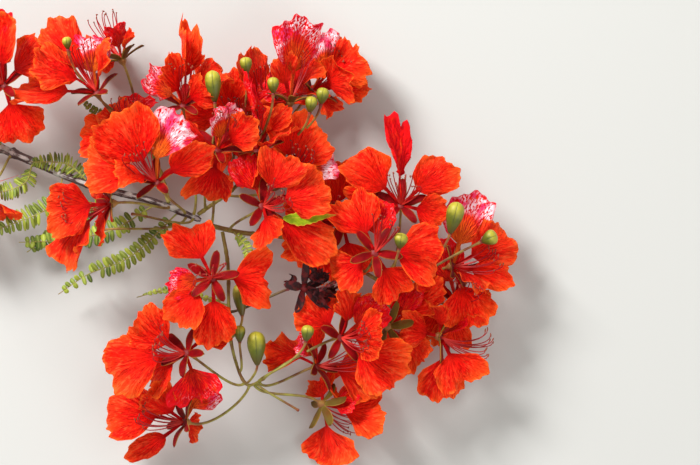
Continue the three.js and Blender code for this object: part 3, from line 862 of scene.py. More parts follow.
def tube_patch(
    path: Path,
    rings: int | Array,
    sides: int,
    radius: Callable[[Array, Array], Array],
    tint: float = 0.5,
) -> Patch:
    """Return a closed round limb along a path.

    Args:
        path: the centre line.
        rings: how many even steps there are from ring to ring, or the rings' shares of the length.
        sides: how many points in a ring.
        radius: the radius for shares of the length and turns in radians.
        tint: the patch's own number.

    Returns:
        The patch. Its place holds the share along, 1 on the upper side to 0 on the lower, and 1.
    """
    share = np.linspace(0.0, 1.0, rings + 1) if isinstance(rings, int) else rings
    centres = path.at(share)
    tangents = path.along(share)
    upright = abs(tangents[0][2]) >= 0.9
    normals = [square_to(tangents[0], np.array([1.0, 0.0, 0.0]) if upright else UP)]
    for tangent in tangents[1:]:
        normals.append(square_to(tangent, normals[-1]))
    normal = np.array(normals)
    other = np.cross(tangents, normal)
    turn = np.linspace(0.0, FULL_TURN, sides, endpoint=False)
    share_grid, turn_grid = np.meshgrid(share, turn, indexing="ij")
    size = radius(share_grid, turn_grid)[..., None]
    cosine, sine = np.cos(turn)[None, :, None], np.sin(turn)[None, :, None]
    spokes = normal[:, None, :] * cosine + other[:, None, :] * sine
    points = centres[:, None, :] + spokes * size
    count = len(share) * sides
    faces = [tuple(face) for face in grid_faces(len(share), sides, closed=True)[:, ::-1].tolist()]
    faces.append(tuple(range(sides - 1, -1, -1)))
    faces.append(tuple(range(count - sides, count)))
    upper = np.abs(1 - turn_grid / math.pi)
    place = np.stack([share_grid, upper, np.ones_like(share_grid)], axis=-1)
    return Patch(points.reshape(-1, 3), faces, place.reshape(-1, 3), tint)


class Value:
    """A number socket of a material, with arithmetic."""

    def __init__(self, graph: "Graph", socket: bpy.types.NodeSocket) -> None:
        """Keep the socket and the graph it is in."""
        self.graph = graph
        self.socket = socket

    def _math(
        self, operation: str, first: "Value | float", second: "Value | float" = 0.0
    ) -> "Value":
        """Return the result of one Math node."""
        made = self.graph.node("ShaderNodeMath", {"operation": operation}, {0: first, 1: second})
        return Value(self.graph, made.outputs[0])

    def __add__(self, other: "Value | float") -> "Value":
        """Return self + other."""
        return self._math("ADD", self, other)

    __radd__ = __add__

    def __sub__(self, other: "Value | float") -> "Value":
        """Return self - other."""
        return self._math("SUBTRACT", self, other)

    def __rsub__(self, other: "Value | float") -> "Value":
        """Return other - self."""
        return self._math("SUBTRACT", other, self)

    def __mul__(self, other: "Value | float") -> "Value":
        """Return self * other."""
        return self._math("MULTIPLY", self, other)

    __rmul__ = __mul__

    def __pow__(self, other: "Value | float") -> "Value":
        """Return self to the power of other."""
        return self._math("POWER", self, other)

    def __abs__(self) -> "Value":
        """Return self without its sign."""
        return self._math("ABSOLUTE", self)

    def most(self, other: "Value | float") -> "Value":
        """Return the greater of self and other."""
        return self._math("MAXIMUM", self, other)

    def sine(self) -> "Value":
        """Return the sine of self in radians."""
        return self._math("SINE", self)

    def ease(self, low: float, high: float) -> "Value":
        """Return a smooth rise between two numbers.

        Args:
            low: where it is 0, as it is below.
            high: where it is 1, as it is above.

        Returns:
            The rise at self.
        """
        made = self.graph.node(
            "ShaderNodeMapRange",
            {"interpolation_type": "SMOOTHSTEP"},
            {"Value": self, "From Min": low, "From Max": high},
        )
        return Value(self.graph, made.outputs[0])


# What a node's socket takes: a link or a value.
Given = Value | bpy.types.NodeSocket | Triple | float


class Graph:
    """The node tree of one material."""

    def __init__(self, name: str) -> None:
        """Make the material with an empty finish.

        Args:
            name: the material's name.
        """
        self.material = bpy.data.materials.new(name)
        self.material.use_nodes = True
        self.tree = self.material.node_tree
        self.shader = self.tree.nodes["Principled BSDF"]

    def node(
        self,
        kind: str,
        settings: dict[str, str] | None = None,
        inputs: dict[str | int, Given] | None = None,
    ) -> bpy.types.Node:
        """Add a node.

        Args:
            kind: the node's type.
            settings: its properties, which are set first.
            inputs: the value or link of each socket, by name or number.

        Returns:
            The node.
        """
        made = self.tree.nodes.new(kind)
        for name, setting in (settings or {}).items():
            setattr(made, name, setting)
        for name, given in (inputs or {}).items():
            self.feed(made.inputs[name], given)
        return made

    def feed(self, socket: bpy.types.NodeSocket, given: Given) -> None:
        """Link a socket, or set its value.

        Args:
            socket: the socket.
            given: what it is linked to, or its value.
        """
        if isinstance(given, Value):
            given = given.socket
        if isinstance(given, bpy.types.NodeSocket):
            self.tree.links.new(given, socket)
        elif isinstance(given, tuple) and socket.type == "RGBA" and len(given) == 3:
            socket.default_value = (*given, 1.0)
        else:
            socket.default_value = given

    def place(self) -> tuple[Value, Value, Value]:
        """Read the mesh's place.

        Returns:
            Its three numbers.
        """
        kept = self.node("ShaderNodeAttribute", {"attribute_name": "place"})
        split = self.node("ShaderNodeSeparateXYZ", None, {0: kept.outputs["Vector"]})
        return tuple(Value(self, split.outputs[index]) for index in range(3))

    def tint(self) -> Value:
        """Return the patch's own number."""
        kept = self.node("ShaderNodeAttribute", {"attribute_name": "tint"})
        return Value(self, kept.outputs["Fac"])

    def spot(self, *parts: Given) -> bpy.types.NodeSocket:
        """Return a vector of up to three numbers."""
        return self.node("ShaderNodeCombineXYZ", None, dict(enumerate(parts))).outputs[0]

    def noise(self, scale: float, detail: float = 2.0, where: Given | None = None) -> Value:
        """Return a noise from 0 to 1.

        Args:
            scale: how many of its waves fit in a metre, or in one of where's units.
            detail: how many finer layers it has.
            where: the vector it is read at, or the object's own coordinates.

        Returns:
            The noise.
        """
        if where is None:
            where = self.node("ShaderNodeTexCoord").outputs["Object"]
        inputs = {"Vector": where, "Scale": scale, "Detail": detail}
        return Value(self, self.node("ShaderNodeTexNoise", None, inputs).outputs[0])

    def blend(self, share: Given, first: Given, second: Given) -> bpy.types.NodeSocket:
        """Return the colour that turns from first to second as share goes from 0 to 1."""
        made = self.node("ShaderNodeMix", {"data_type": "RGBA"}, {0: share, 6: first, 7: second})
        return made.outputs[2]

    def finish(
        self, colour: Given, roughness: Given, height: Given | None = None, depth: float = 0.0
    ) -> None:
        """Feed the shader.

        Args:
            colour: its base colour.
            roughness: its roughness.
            height: the height of its relief from 0 to 1, if it has any.
            depth: the relief's depth in metres.
        """
        self.feed(self.shader.inputs["Base Color"], colour)
        self.feed(self.shader.inputs["Roughness"], roughness)
        if height is not None:
            inputs = {"Strength": 1.0, "Distance": depth, "Height": height}
            bump = self.node("ShaderNodeBump", None, inputs)
            self.feed(self.shader.inputs["Normal"], bump.outputs[0])

    def shine(self, level: float) -> None:
        """Set how strongly the surface shines."""
        self.shader.inputs["Specular IOR Level"].default_value = level

    def glow(self, colour: Given, strength: float) -> None:
        """Let the surface give off a little light of a colour."""
        self.feed(self.shader.inputs["Emission Color"], colour)
        self.shader.inputs["Emission Strength"].default_value = strength


def paint(red: int, green: int, blue: int) -> Triple:
    """Return a colour of a screen as the amounts of light that a shader takes."""
    shares = (red / 255, green / 255, blue / 255)
    return tuple(s / 12.92 if s <= 0.04045 else ((s + 0.055) / 1.055) ** 2.4 for s in shares)


@dataclass(frozen=True)
class Finish:
    """A finish: its material's name, its slot, its roughness and its relief's depth in metres."""

    name: str
    slot: str = ""
    roughness: float = 0.5
    relief: float = 0.0003

    def dress(self, graph: Graph) -> None:
        """Add the finish's nodes to a material."""
        raise NotImplementedError

    def material(self) -> bpy.types.Material:
        """Make the finish's material.

        Returns:
            The material.
        """
        graph = Graph(self.name)
        self.dress(graph)
        return graph.material


@dataclass(frozen=True)
class PetalFinish(Finish):
    """A scarlet petal: crimson veins, painted shade at its claw, and painted light turning its
    crinkled margin orange.
    """

    name: str = "scarlet_petal"
    slot: str = "petal"
    roughness: float = 0.55
    relief: float = 0.001
    limb: Triple = paint(253, 8, 6)
    bright: Triple = paint(255, 48, 12)
    # deep crimson of the veins and the darker petals; also laid as painted shade in the creases and
    # at the claw
    deep: Triple = paint(148, 0, 6)
    # orange of painted light shining through the thin margin
    margin: Triple = paint(255, 110, 34)
    back: Triple = paint(250, 40, 18)
    # painted highlight, laid on the ridges of the creases and wrinkles
    painted_highlight: Triple = paint(255, 128, 70)
    veins: float = 8.0
    shine: float = 0.08
    # glow: painted light, a faint emission that stands in for light passing through the thin petal
    glow: float = 0.13

    def dress(self, graph: Graph) -> None:
        """Add the finish's nodes.

        Args:
            graph: the material's graph.
        """
        along, across, front = graph.place()
        tint = graph.tint()
        drift = graph.noise(4.0, 3.0, graph.spot(along, across, tint * 40))
        line = abs((across * self.veins * math.pi + drift * 7.0).sine())
        fine = abs((across * self.veins * 8.4 + drift * 13.0).sine())
        broken = graph.noise(9.0, 3.0, graph.spot(along, across * 2, tint * 70)).ease(0.34, 0.6)
        fading = 1 - along.ease(0.45, 0.9) * 0.9
        vein = (1 - line.ease(0.0, 0.75)) * along.ease(0.14, 0.3) * fading * broken
        veinlet = (1 - fine.ease(0.0, 0.8)) * along.ease(0.3, 0.6) * broken
        cloud = graph.noise(64.0, 5.0).ease(0.3, 0.7)
        base = graph.blend((cloud + along.ease(0.5, 1.0) * 0.6) * 0.58, self.limb, self.bright)
        base = graph.blend((1 - tint) * 0.36, base, self.deep)
        base = graph.blend((1 - front) * 0.5, base, self.back)
        crease = graph.noise(1.0, 3.0, graph.spot(across * 9, along * 3, tint * 50))
        wrinkle = graph.noise(1.0, 4.0, graph.spot(across * 24, along * 13, tint * 50))
        fan, rise = along.ease(0.3, 0.7), along.ease(0.4, 0.8)
        # painted shade: the troughs of the creases and wrinkles are darkened towards deep crimson
        base = graph.blend((1 - crease.ease(0.32, 0.56)) * fan * 0.4, base, self.deep)
        base = graph.blend((1 - wrinkle.ease(0.36, 0.5)) * fan * 0.34, base, self.deep)
        # painted highlight on the ridges of the creases and wrinkles
        base = graph.blend(crease.ease(0.52, 0.72) * rise * 0.3, base, self.painted_highlight)
        base = graph.blend(wrinkle.ease(0.54, 0.66) * rise * 0.26, base, self.painted_highlight)
        # painted light: a broad orange band along the margin, where light shines through the thin
        # petal
        band = graph.noise(1.0, 1.0, graph.spot(across * 1.6, tint * 30, 2.0)).ease(0.38, 0.62)
        base = graph.blend(band * along.ease(0.66, 1.0) * 0.32, base, self.margin)
        # painted shade: darker crimson towards the claw, where the petals crowd together
        throat = (1 - along.ease(0.18, 0.58)) * 0.85
        base = graph.blend(throat, base, self.deep)
        base = graph.blend(vein * 0.42 + veinlet * 0.13, base, self.deep)
        # painted light: a thin broken orange line along the rim, where light shines through
        rim = graph.noise(30.0, 2.0, graph.spot(across, tint * 20, 0.0))
        edge = (abs(across) ** 30.0).most(along.ease(0.93, 1.0)) * along.ease(0.4, 0.6)
        base = graph.blend(edge * rim.ease(0.35, 0.6) * 0.8, base, self.margin)
        grain = graph.noise(260.0, 4.0)
        height = 1 - (vein * 0.8 + veinlet * 0.5)
        height = height + (crease * 3.5 + wrinkle * 2) * along.ease(0.3, 0.8) + grain * 1.6
        graph.finish(base, self.roughness + grain * 0.14, height, self.relief)
        graph.shine(self.shine)
        graph.glow(base, self.glow)


@dataclass(frozen=True)
class StandardFinish(Finish):
    """The standard: red with crimson streaks, and flecked with white or pink as its tint rises."""

    name: str = "flecked_petal"
    slot: str = "petal"
    roughness: float = 0.55
    relief: float = 0.001
    limb: Triple = paint(228, 12, 12)
    pale: Triple = paint(252, 216, 224)
    blush: Triple = paint(236, 54, 104)
    # crimson of the streaks; also laid as painted shade in the troughs of the creases
    streaks: Triple = paint(168, 0, 22)
    # orange of the throat; also laid as painted highlights on the ridges of the creases
    throat: Triple = paint(244, 112, 28)
    margin: Triple = paint(232, 16, 30)
    shine: float = 0.08
    # glow: painted light, a faint emission that stands in for light passing through the thin petal
    glow: float = 0.12

    def dress(self, graph: Graph) -> None:
        """Add the finish's nodes.

        Args:
            graph: the material's graph.
        """
        along, across, _ = graph.place()
        tint = graph.tint()
        drift = graph.noise(6.0, 2.0, graph.spot(along, across, tint * 40))
        outer = along.ease(0.72 - tint * 0.12, 0.84 - tint * 0.12)
        flecks = graph.noise(1.0, 3.0, graph.spot(along * 22, across * 30, tint * 9))
        patch = (flecks + tint * 0.17).ease(0.56, 0.64) * outer
        base = graph.blend((1 - along.ease(0.42, 0.76)) * tint, self.limb, self.throat)
        pink = graph.blend(graph.noise(90.0, 3.0).ease(0.4, 0.62), self.pale, self.blush)
        base = graph.blend(patch * tint.ease(0.0, 0.3), base, pink)
        streak = 1 - abs((across * 32 + drift * 6).sine()).ease(0.1, 0.62)
        streak = streak * along.ease(0.16, 0.3) * (1 - along.ease(0.5, 0.95) * 0.8)
        crease = graph.noise(1.0, 3.0, graph.spot(across * 7, along * 5, tint * 50))
        # painted shade in the troughs of the creases, and a painted highlight on their ridges
        base = graph.blend((1 - crease.ease(0.36, 0.54)) * (1 - patch) * 0.55, base, self.streaks)
        base = graph.blend(crease.ease(0.54, 0.7) * (1 - patch) * 0.3, base, self.throat)
        base = graph.blend(streak * 0.85, base, self.streaks)
        edge = (abs(across) ** 8.0).most(along.ease(0.93, 1.0)) * along.ease(0.4, 0.6)
        base = graph.blend(edge * (1 - tint * 0.5), base, self.margin)
        grain = graph.noise(260.0, 4.0)
        height = 1 - streak * 0.8 + crease * 4.5 + grain * 1.6
        graph.finish(base, self.roughness, height, self.relief)
        graph.shine(self.shine)
        graph.glow(base, self.glow)


@dataclass(frozen=True)
class SepalFinish(Finish):
    """A sepal: crimson inside with a pale rim, and green-brown outside."""

    name: str = "sepal"
    slot: str = "petal"
    relief: float = 0.0004
    inside: Triple = paint(118, 0, 8)
    lit: Triple = paint(172, 4, 12)
    outside: Triple = paint(118, 98, 34)
    rim: Triple = paint(190, 150, 62)
    shine: float = 0.15

    def dress(self, graph: Graph) -> None:
        """Add the finish's nodes.

        Args:
            graph: the material's graph.
        """
        along, across, front = graph.place()
        drift = graph.noise(90.0, 3.0)
        inner = graph.blend(drift.ease(0.3, 0.75), self.inside, self.lit)
        outer = graph.blend(drift.ease(0.35, 0.8) * 0.6, self.outside, self.inside)
        base = graph.blend(front, outer, inner)
        rim = abs(across).ease(0.8, 0.98) * (1 - front * 0.55)
        base = graph.blend(rim * 0.7, base, self.rim)
        ridge = abs((across * 14).sine())
        graph.finish(base, self.roughness, ridge * along.ease(0.0, 0.2) + drift, self.relief)
        graph.shine(self.shine)


@dataclass(frozen=True)
class StalkFinish(Finish):
    """A flower stalk or young stem: olive, with brown and red along it."""

    name: str = "green_stalk"
    slot: str = "stalk"
    green: Triple = paint(156, 150, 64)
    brown: Triple = paint(122, 84, 44)
    flush: Triple = paint(150, 34, 26)
    mouth: Triple = paint(126, 4, 8)
    reddening: float = 0.5

    def dress(self, graph: Graph) -> None:
        """Add the finish's nodes.

        Args:
            graph: the material's graph.
        """
        along, upper, _ = graph.place()
        patches = graph.noise(120.0, 3.0)
        base = graph.blend(patches.ease(0.35, 0.7), self.green, self.brown)
        base = graph.blend(along.ease(0.5, 1.0) * self.reddening, base, self.flush)
        base = graph.blend(along.ease(0.965, 0.99) * self.reddening * 2, base, self.mouth)
        lengthwise = graph.noise(1.0, 3.0, graph.spot(along * 60, upper * 12, 0.0))
        height = lengthwise + patches * 0.4
        graph.finish(base, self.roughness + patches * 0.15, height, self.relief)


@dataclass(frozen=True)
class FilamentFinish(Finish):
    """A stamen: crimson thread and a dark anther, told apart by the tint."""

    name: str = "stamen"
    slot: str = "petal"
    roughness: float = 0.45
    relief: float = 0.0001
    thread: Triple = paint(172, 6, 16)
    pale: Triple = paint(218, 52, 40)
    anther: Triple = paint(140, 56, 14)

    def dress(self, graph: Graph) -> None:
        """Add the finish's nodes.

        Args:
            graph: the material's graph.
        """
        along, _, _ = graph.place()
        base = graph.blend(1 - along.ease(0.0, 0.5), self.thread, self.pale)
        grain = graph.noise(1500.0, 2.0)
        base = graph.blend(graph.tint().ease(0.85, 0.95), base, self.anther)
        graph.finish(base, self.roughness + grain * 0.15, grain, self.relief)


@dataclass(frozen=True)
class BudFinish(Finish):
    """A bud: yellow-green, darker at its foot, with five seams."""

    name: str = "green_bud"
    slot: str = "bud"
    roughness: float = 0.42
    green: Triple = paint(90, 98, 12)
    yellow: Triple = paint(182, 172, 46)
    dark: Triple = paint(44, 46, 8)
    foot: Triple = paint(82, 60, 14)

    def dress(self, graph: Graph) -> None:
        """Add the finish's nodes.

        Args:
            graph: the material's graph.
        """
        along, upper, _ = graph.place()
        patches = graph.noise(160.0, 3.0)
        seam = 1 - abs((upper * (2.5 * math.pi) + math.pi / 2).sine()).ease(0.0, 0.22)
        # yellower towards the tip, in patches
        yellower_to_tip = (patches * 0.5 + along * 0.9).ease(0.66, 1.14)
        base = graph.blend(yellower_to_tip, self.green, self.yellow)
        base = graph.blend((1 - along.ease(0.06, 0.5)) * 0.7, base, self.foot)
        base = graph.blend(seam * along.ease(0.3, 0.5) * 0.6, base, self.dark)
        grain = graph.noise(1400.0, 2.0)
        height = patches + grain * 0.25 - seam * 0.8
        graph.finish(base, self.roughness + grain * 0.14, height, self.relief)


@dataclass(frozen=True)
class BarkFinish(Finish):
    """Bark: dark brown, pale on its upper side as a painted highlight, with lichen and long dark
    cracks.
    """

    name: str = "bark_painted_highlight"
    slot: str = "bark"
    roughness: float = 0.82
    relief: float = 0.0009
    brown: Triple = paint(74, 54, 50)
    # pale grey of a painted highlight on the bark's upper side
    painted_highlight_grey: Triple = paint(186, 178, 172)
    crack: Triple = paint(36, 24, 26)
    lichen: Triple = paint(206, 208, 196)

    def dress(self, graph: Graph) -> None:
        """Add the finish's nodes.

        Args:
            graph: the material's graph.
        """
        along, upper, _ = graph.place()
        streaks = graph.noise(1.0, 4.0, graph.spot(along * 34, upper * 7, 0.0))
        patches = graph.noise(70.0, 4.0)
        grain = graph.noise(600.0, 3.0)
        # painted highlight: the upper side, where the light falls, is painted pale grey
        base = graph.blend((upper * 0.9 + streaks * 0.8).ease(1.14, 1.32), self.brown, self.painted_highlight_grey)
        base = graph.blend((1 - grain.ease(0.3, 0.46)) * 0.7, base, self.crack)
        base = graph.blend(patches.ease(0.56, 0.66) * 0.8, base, self.lichen)
        graph.finish(base, self.roughness, streaks + grain * 0.7, self.relief)


@dataclass(frozen=True)
class CutFinish(Finish):
    """The sawn end: pale wood with rings."""

    name: str = "cut_wood"
    slot: str = "bark"
    roughness: float = 0.75
    relief: float = 0.0002
    wood: Triple = paint(214, 186, 140)
    ring: Triple = paint(168, 126, 82)

    def dress(self, graph: Graph) -> None:
        """Add the finish's nodes.

        Args:
            graph: the material's graph.
        """
        out, _, _ = graph.place()
        drift = graph.noise(300.0, 3.0)
        rings = (out * 26 + drift * 2).sine().ease(-0.2, 0.9)
        base = graph.blend(rings * 0.8, self.wood, self.ring)
        graph.finish(base, self.roughness, rings + drift, self.relief)


@dataclass(frozen=True)
class LeafFinish(Finish):
    """A leaflet: yellow-green, dealt out by tint, with a pale rib."""

    name: str = "leaflet"
    slot: str = "leaf"
    relief: float = 0.0001
    light: Triple = paint(164, 178, 48)
    dark: Triple = paint(78, 104, 26)
    rib: Triple = paint(190, 194, 96)

    def dress(self, graph: Graph) -> None:
        """Add the finish's nodes.

        Args:
            graph: the material's graph.
        """
        _, across, _ = graph.place()
        base = graph.blend(graph.tint(), self.dark, self.light)
        base = graph.blend((1 - abs(across).ease(0.0, 0.2)) * 0.6, base, self.rib)
        grain = graph.noise(700.0, 3.0)
        graph.finish(base, self.roughness + grain * 0.2, grain, self.relief)


@dataclass(frozen=True)
class BroadLeafFinish(Finish):
    """The broad leaf: bright green, with a yellow rib and margin and a rusty tip."""

    name: str = "broad_leaf"
    slot: str = "leaf"
    roughness: float = 0.42
    relief: float = 0.0002
    green: Triple = paint(154, 180, 22)
    dark: Triple = paint(104, 138, 14)
    margin: Triple = paint(250, 212, 60)
    rust: Triple = paint(236, 120, 50)
    shine: float = 0.15

    def dress(self, graph: Graph) -> None:
        """Add the finish's nodes.

        Args:
            graph: the material's graph.
        """
        along, across, _ = graph.place()
        cloud = graph.noise(220.0, 3.0).ease(0.36, 0.66)
        base = graph.blend(cloud * 0.6 + (1 - along.ease(0.0, 0.3)) * 0.4, self.green, self.dark)
        side_rib = 1 - abs((along * 40 - abs(across) * 9).sine()).ease(0.0, 0.3)
        rib = (1 - abs(across).ease(0.0, 0.1)).most(side_rib * 0.4)
        base = graph.blend(rib * 0.6, base, self.margin)
        base = graph.blend(abs(across).ease(0.82, 1.0) * 0.8, base, self.margin)
        base = graph.blend(along.ease(0.74, 0.96) * 0.75, base, self.rust)
        grain = graph.noise(700.0, 3.0)
        graph.finish(base, self.roughness + grain * 0.16, grain - rib, self.relief)
        graph.shine(self.shine)


@dataclass(frozen=True)
class WitheredFinish(Finish):
    """A dried petal: near black crimson with brown folds."""

    name: str = "dried_petal"
    slot: str = "withered"
    roughness: float = 0.72
    relief: float = 0.0008
    dark: Triple = paint(46, 8, 14)
    crimson: Triple = paint(112, 14, 18)
    brown: Triple = paint(86, 50, 30)

    def dress(self, graph: Graph) -> None:
        """Add the finish's nodes.

        Args:
            graph: the material's graph.
        """
        folds = graph.noise(240.0, 4.0)
        base = graph.blend(folds.ease(0.42, 0.62), self.dark, self.crimson)
        base = graph.blend(graph.noise(110.0, 2.0).ease(0.55, 0.7) * 0.6, base, self.brown)
        graph.finish(base, self.roughness, folds, self.relief)


@dataclass(frozen=True)
class FloorFinish(Finish):
    """The floor: plain, pale and matt."""

    name: str = "pale_floor"
    roughness: float = 0.85
    shade: Triple = paint(200, 200, 196)

    def dress(self, graph: Graph) -> None:
        """Set the floor's one colour."""
        graph.finish(self.shade, self.roughness)


class Workshop:
    """Makes each finish's material once, and joins patches into the scene's pieces."""

    def __init__(self) -> None:
        """Start with no material."""
        self.made: dict[str, bpy.types.Material] = {}

    def material(self, finish: Finish) -> bpy.types.Material:
        """Return the material of a finish."""
        if finish.name not in self.made:
            self.made[finish.name] = finish.material()
        return self.made[finish.name]

    def mesh(self, name: str, patches: list[Patch], finish: Finish) -> bpy.types.Mesh:
        """Join patches into one mesh.

        Args:
            name: the mesh's name.
            patches: what it is made of, in millimetres.
            finish: its finish.

        Returns:
            The mesh, in metres, with each point's place and tint kept for its material.
        """
        points = np.concatenate([patch.points for patch in patches]) + SHIFT
        points[:, 2] = np.maximum(points[:, 2], FLOOR_CLEAR)
        faces: list[tuple[int, ...]] = []
        offset = 0
        for patch in patches:
            faces += [tuple(number + offset for number in face) for face in patch.faces]
            offset += len(patch.points)
        mesh = bpy.data.meshes.new(name)
        mesh.from_pydata((points / MM_IN_M).tolist(), [], faces)
        places = np.concatenate([patch.place for patch in patches])
        tints = np.concatenate([np.full(len(patch.points), patch.tint) for patch in patches])
        place = mesh.attributes.new("place", "FLOAT_VECTOR", "POINT")
        place.data.foreach_set("vector", places.ravel())
        tint = mesh.attributes.new("tint", "FLOAT", "POINT")
        tint.data.foreach_set("value", tints)
        mesh.polygons.foreach_set("use_smooth", np.ones(len(mesh.polygons), dtype=bool))
        mesh.materials.append(self.material(finish))
        mesh.validate()
        return mesh

    def piece(self, name: str, patches: list[Patch], finish: Finish, *nodes: str) -> None:
        """Build one piece of the scene.

        Args:
            name: the piece's name.
            patches: what it is made of, in millimetres.
            finish: its finish.
            nodes: the nodes that it stands for.
        """
        mesh = self.mesh(name, patches, finish)
        piece = bpy.data.objects.new(name, mesh)
        bpy.context.scene.collection.objects.link(piece)
        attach(piece, "root")
        if nodes:
            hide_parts(*nodes)
        LOG.info("%s: %d faces", name, len(mesh.polygons))


@dataclass
class Stems:
    """The branch and the young stems that carry the blooms."""

    rows: dict[str, StemRow]
    workshop: Workshop
    bark_sides: int = 28
    twig_sides: int = 16
    bark_depth: float = 0.042  # of the radius, as is the next
    twig_depth: float = 0.03
    bark_knots: int = 9
    twig_knots: int = 7
    knot_reach: float = 1.8
    knot_swell: float = 0.2
    ring_step: float = 0.9

    def __post_init__(self) -> None:
        """Draw each centre line."""
        self.paths = {name: Path.through(row.points) for name, row in self.rows.items()}

    def radius(self, name: str, share: Array | float) -> Array | float:
        """Return a stem's radius at a share of its length."""
        first, last = self.rows[name].radii
        return first + (last - first) * share

    def seat(self, seat: Seat, head: Array) -> tuple[Array, Array]:
        """Return where a stalk starts and the way it leaves its stem.

        Args:
            seat: the stalk's seat.
            head: what the stalk carries.

        Returns:
            The foot and the unit vector out of the stem.
        """
        path = self.paths[seat.stem]
        centre = path.at(seat.share)
        along = path.along(seat.share)
        out = spun(square_to(along, head - centre), along, seat.around)
        return centre + out * (self.radius(seat.stem, seat.share) + SEAT_GAP), out

    def stalk(self, seat: Seat, head: Array, axis: Array) -> Path:
        """Return the line of a stalk, which comes up behind its head.

        Args:
            seat: the stalk's seat.
            head: what it carries.
            axis: the way that its head faces.

        Returns:
            The path, which starts inside the stem's skin so that no gap shows.
        """
        foot, out = self.seat(seat, head)
        reach = float(np.linalg.norm(head - foot))
        sunk = 0.5
        return Path.bezier(
            foot - out * (SEAT_GAP + sunk),
            foot + out * 0.22 * reach,
            head - axis * 0.34 * reach,
            head,
        )

    def patch(self, name: str, rng: np.random.Generator) -> Patch:
        """Return one stem's mesh, with ridges along it and a swelling at each knot.

        Args:
            name: the stem's name.
            rng: where its chances come from.

        Returns:
            The patch.
        """
        path = self.paths[name]
        bark = name == "branch"
        depth = self.bark_depth if bark else self.twig_depth
        knots = np.sort(rng.uniform(0.04, 0.97, self.bark_knots if bark else self.twig_knots))
        phases = rng.uniform(0, FULL_TURN, 6)

        def radius(share: Array, turn: Array) -> Array:
            """Return the radius with its relief.

            Args:
                share: shares of the stem's length.
                turn: turns round it.

            Returns:
                The radius at each point.
            """
            run = share * path.length
            ridges = 0.5 * np.sin(7 * turn + 1.4 * np.sin(run * 0.11 + phases[0]) + phases[1])
            seams = 0.35 * np.sin(13 * turn + 2 * np.sin(run * 0.23 + phases[2]) + phases[3])
            rings = 0.4 * np.sin(run * 0.9 + 2 * np.sin(2 * turn + phases[4]))
            slants = 0.3 * np.sin(run * 2.1 + 3 * turn + phases[5])
            away = [(run - knot * path.length) / self.knot_reach for knot in knots]
            bulge = self.knot_swell * sum(np.exp(-(gap**2)) for gap in away)
            skin = 0.96 + depth * (ridges + seams + rings + slants) + bulge
            return self.radius(name, share) * skin * (1 - 0.35 * ease(0.985, 1.0, share))

        sides = self.bark_sides if bark else self.twig_sides
        return tube_patch(path, int(path.length / self.ring_step), sides, radius)

    def build(self, rng: np.random.Generator) -> None:
        """Build every stem and the branch's sawn end.

        Args:
            rng: where their chances come from.
        """
        young = StalkFinish("young_stem", reddening=0.15)
        for name in self.rows:
            finish = BarkFinish() if name == "branch" else young
            self.workshop.piece(f"{name}_skin", [self.patch(name, rng)], finish, name)
        self.build_cut()

    def build_cut(self) -> None:
        """Build the pale face of the sawn end."""
        path = self.paths["branch"]
        along = path.along(0.0)
        radius = self.rows["branch"].radii[0] * 0.9
        start = path.at(0.0) + along * 0.6
        short = Path(np.array([start, start - along * 0.75]))

        def profile(share: Array, _turn: Array) -> Array:
            """Return the disc's radius, which closes in over its face."""
            return radius * np.sqrt(np.clip(1.0 - np.maximum(share - 0.3, 0.0) / 0.7001, 0.0, 1.0))

        patch = tube_patch(short, rings=24, sides=self.bark_sides, radius=profile)
        patch.place[:, 0] = np.linalg.norm(patch.points - short.at(0.5), axis=1) / radius
        self.workshop.piece("branch_cut", [patch], CutFinish())


@dataclass(frozen=True)
class Blade:
    """The plain form of a petal or sepal: an arc over the chord from its root to its tip."""

    root: Array
    aim: Array
    face: Array
    length: float
    arch: float

    def points(self, share: Array, sideways: Array, rise: Array) -> Array:
        """Return points on the blade, which is bent as in the part's source.

        Args:
            share: each point's share of the length.
            sideways: how far each point is to the side.
            rise: how far each point stands off the arc.

        Returns:
            The points.
        """
        side = np.cross(self.face, self.aim)
        bend = math.radians(self.arch)
        slope = bend * (0.5 - share)
        along = self.length * (math.sin(bend / 2) - np.sin(slope)) / bend
        over = self.length * (np.cos(slope) - math.cos(bend / 2)) / bend
        lift = -np.sin(slope)[..., None] * self.aim + np.cos(slope)[..., None] * self.face
        return (
            self.root
            + along[..., None] * self.aim
            + over[..., None] * self.face
            + sideways[..., None] * side
            + rise[..., None] * lift
        )


@dataclass(frozen=True)
class Wave:
    """A wave over a petal's fan.

    across and outward are its radians for one radian of the fan and for the whole way out to the
    margin, and it grows as the way out to the power growth.
    """

    height: float
    across: float
    outward: float = 0.0
    growth: int = 0

    def over(self, angle: Array, out: Array, phase: Array | float) -> Array:
        """Return the wave's height at each point."""
        turn = self.across * angle + self.outward * out + phase
        return self.height * np.sin(turn) * out**self.growth


def swell(
    waves: tuple[Wave, ...], angle: Array, out: Array, phases: Iterable[Array | float]
) -> Array:
    """Return the height of several waves together at each point."""
    return sum(wave.over(angle, out, phase) for wave, phase in zip(waves, phases))


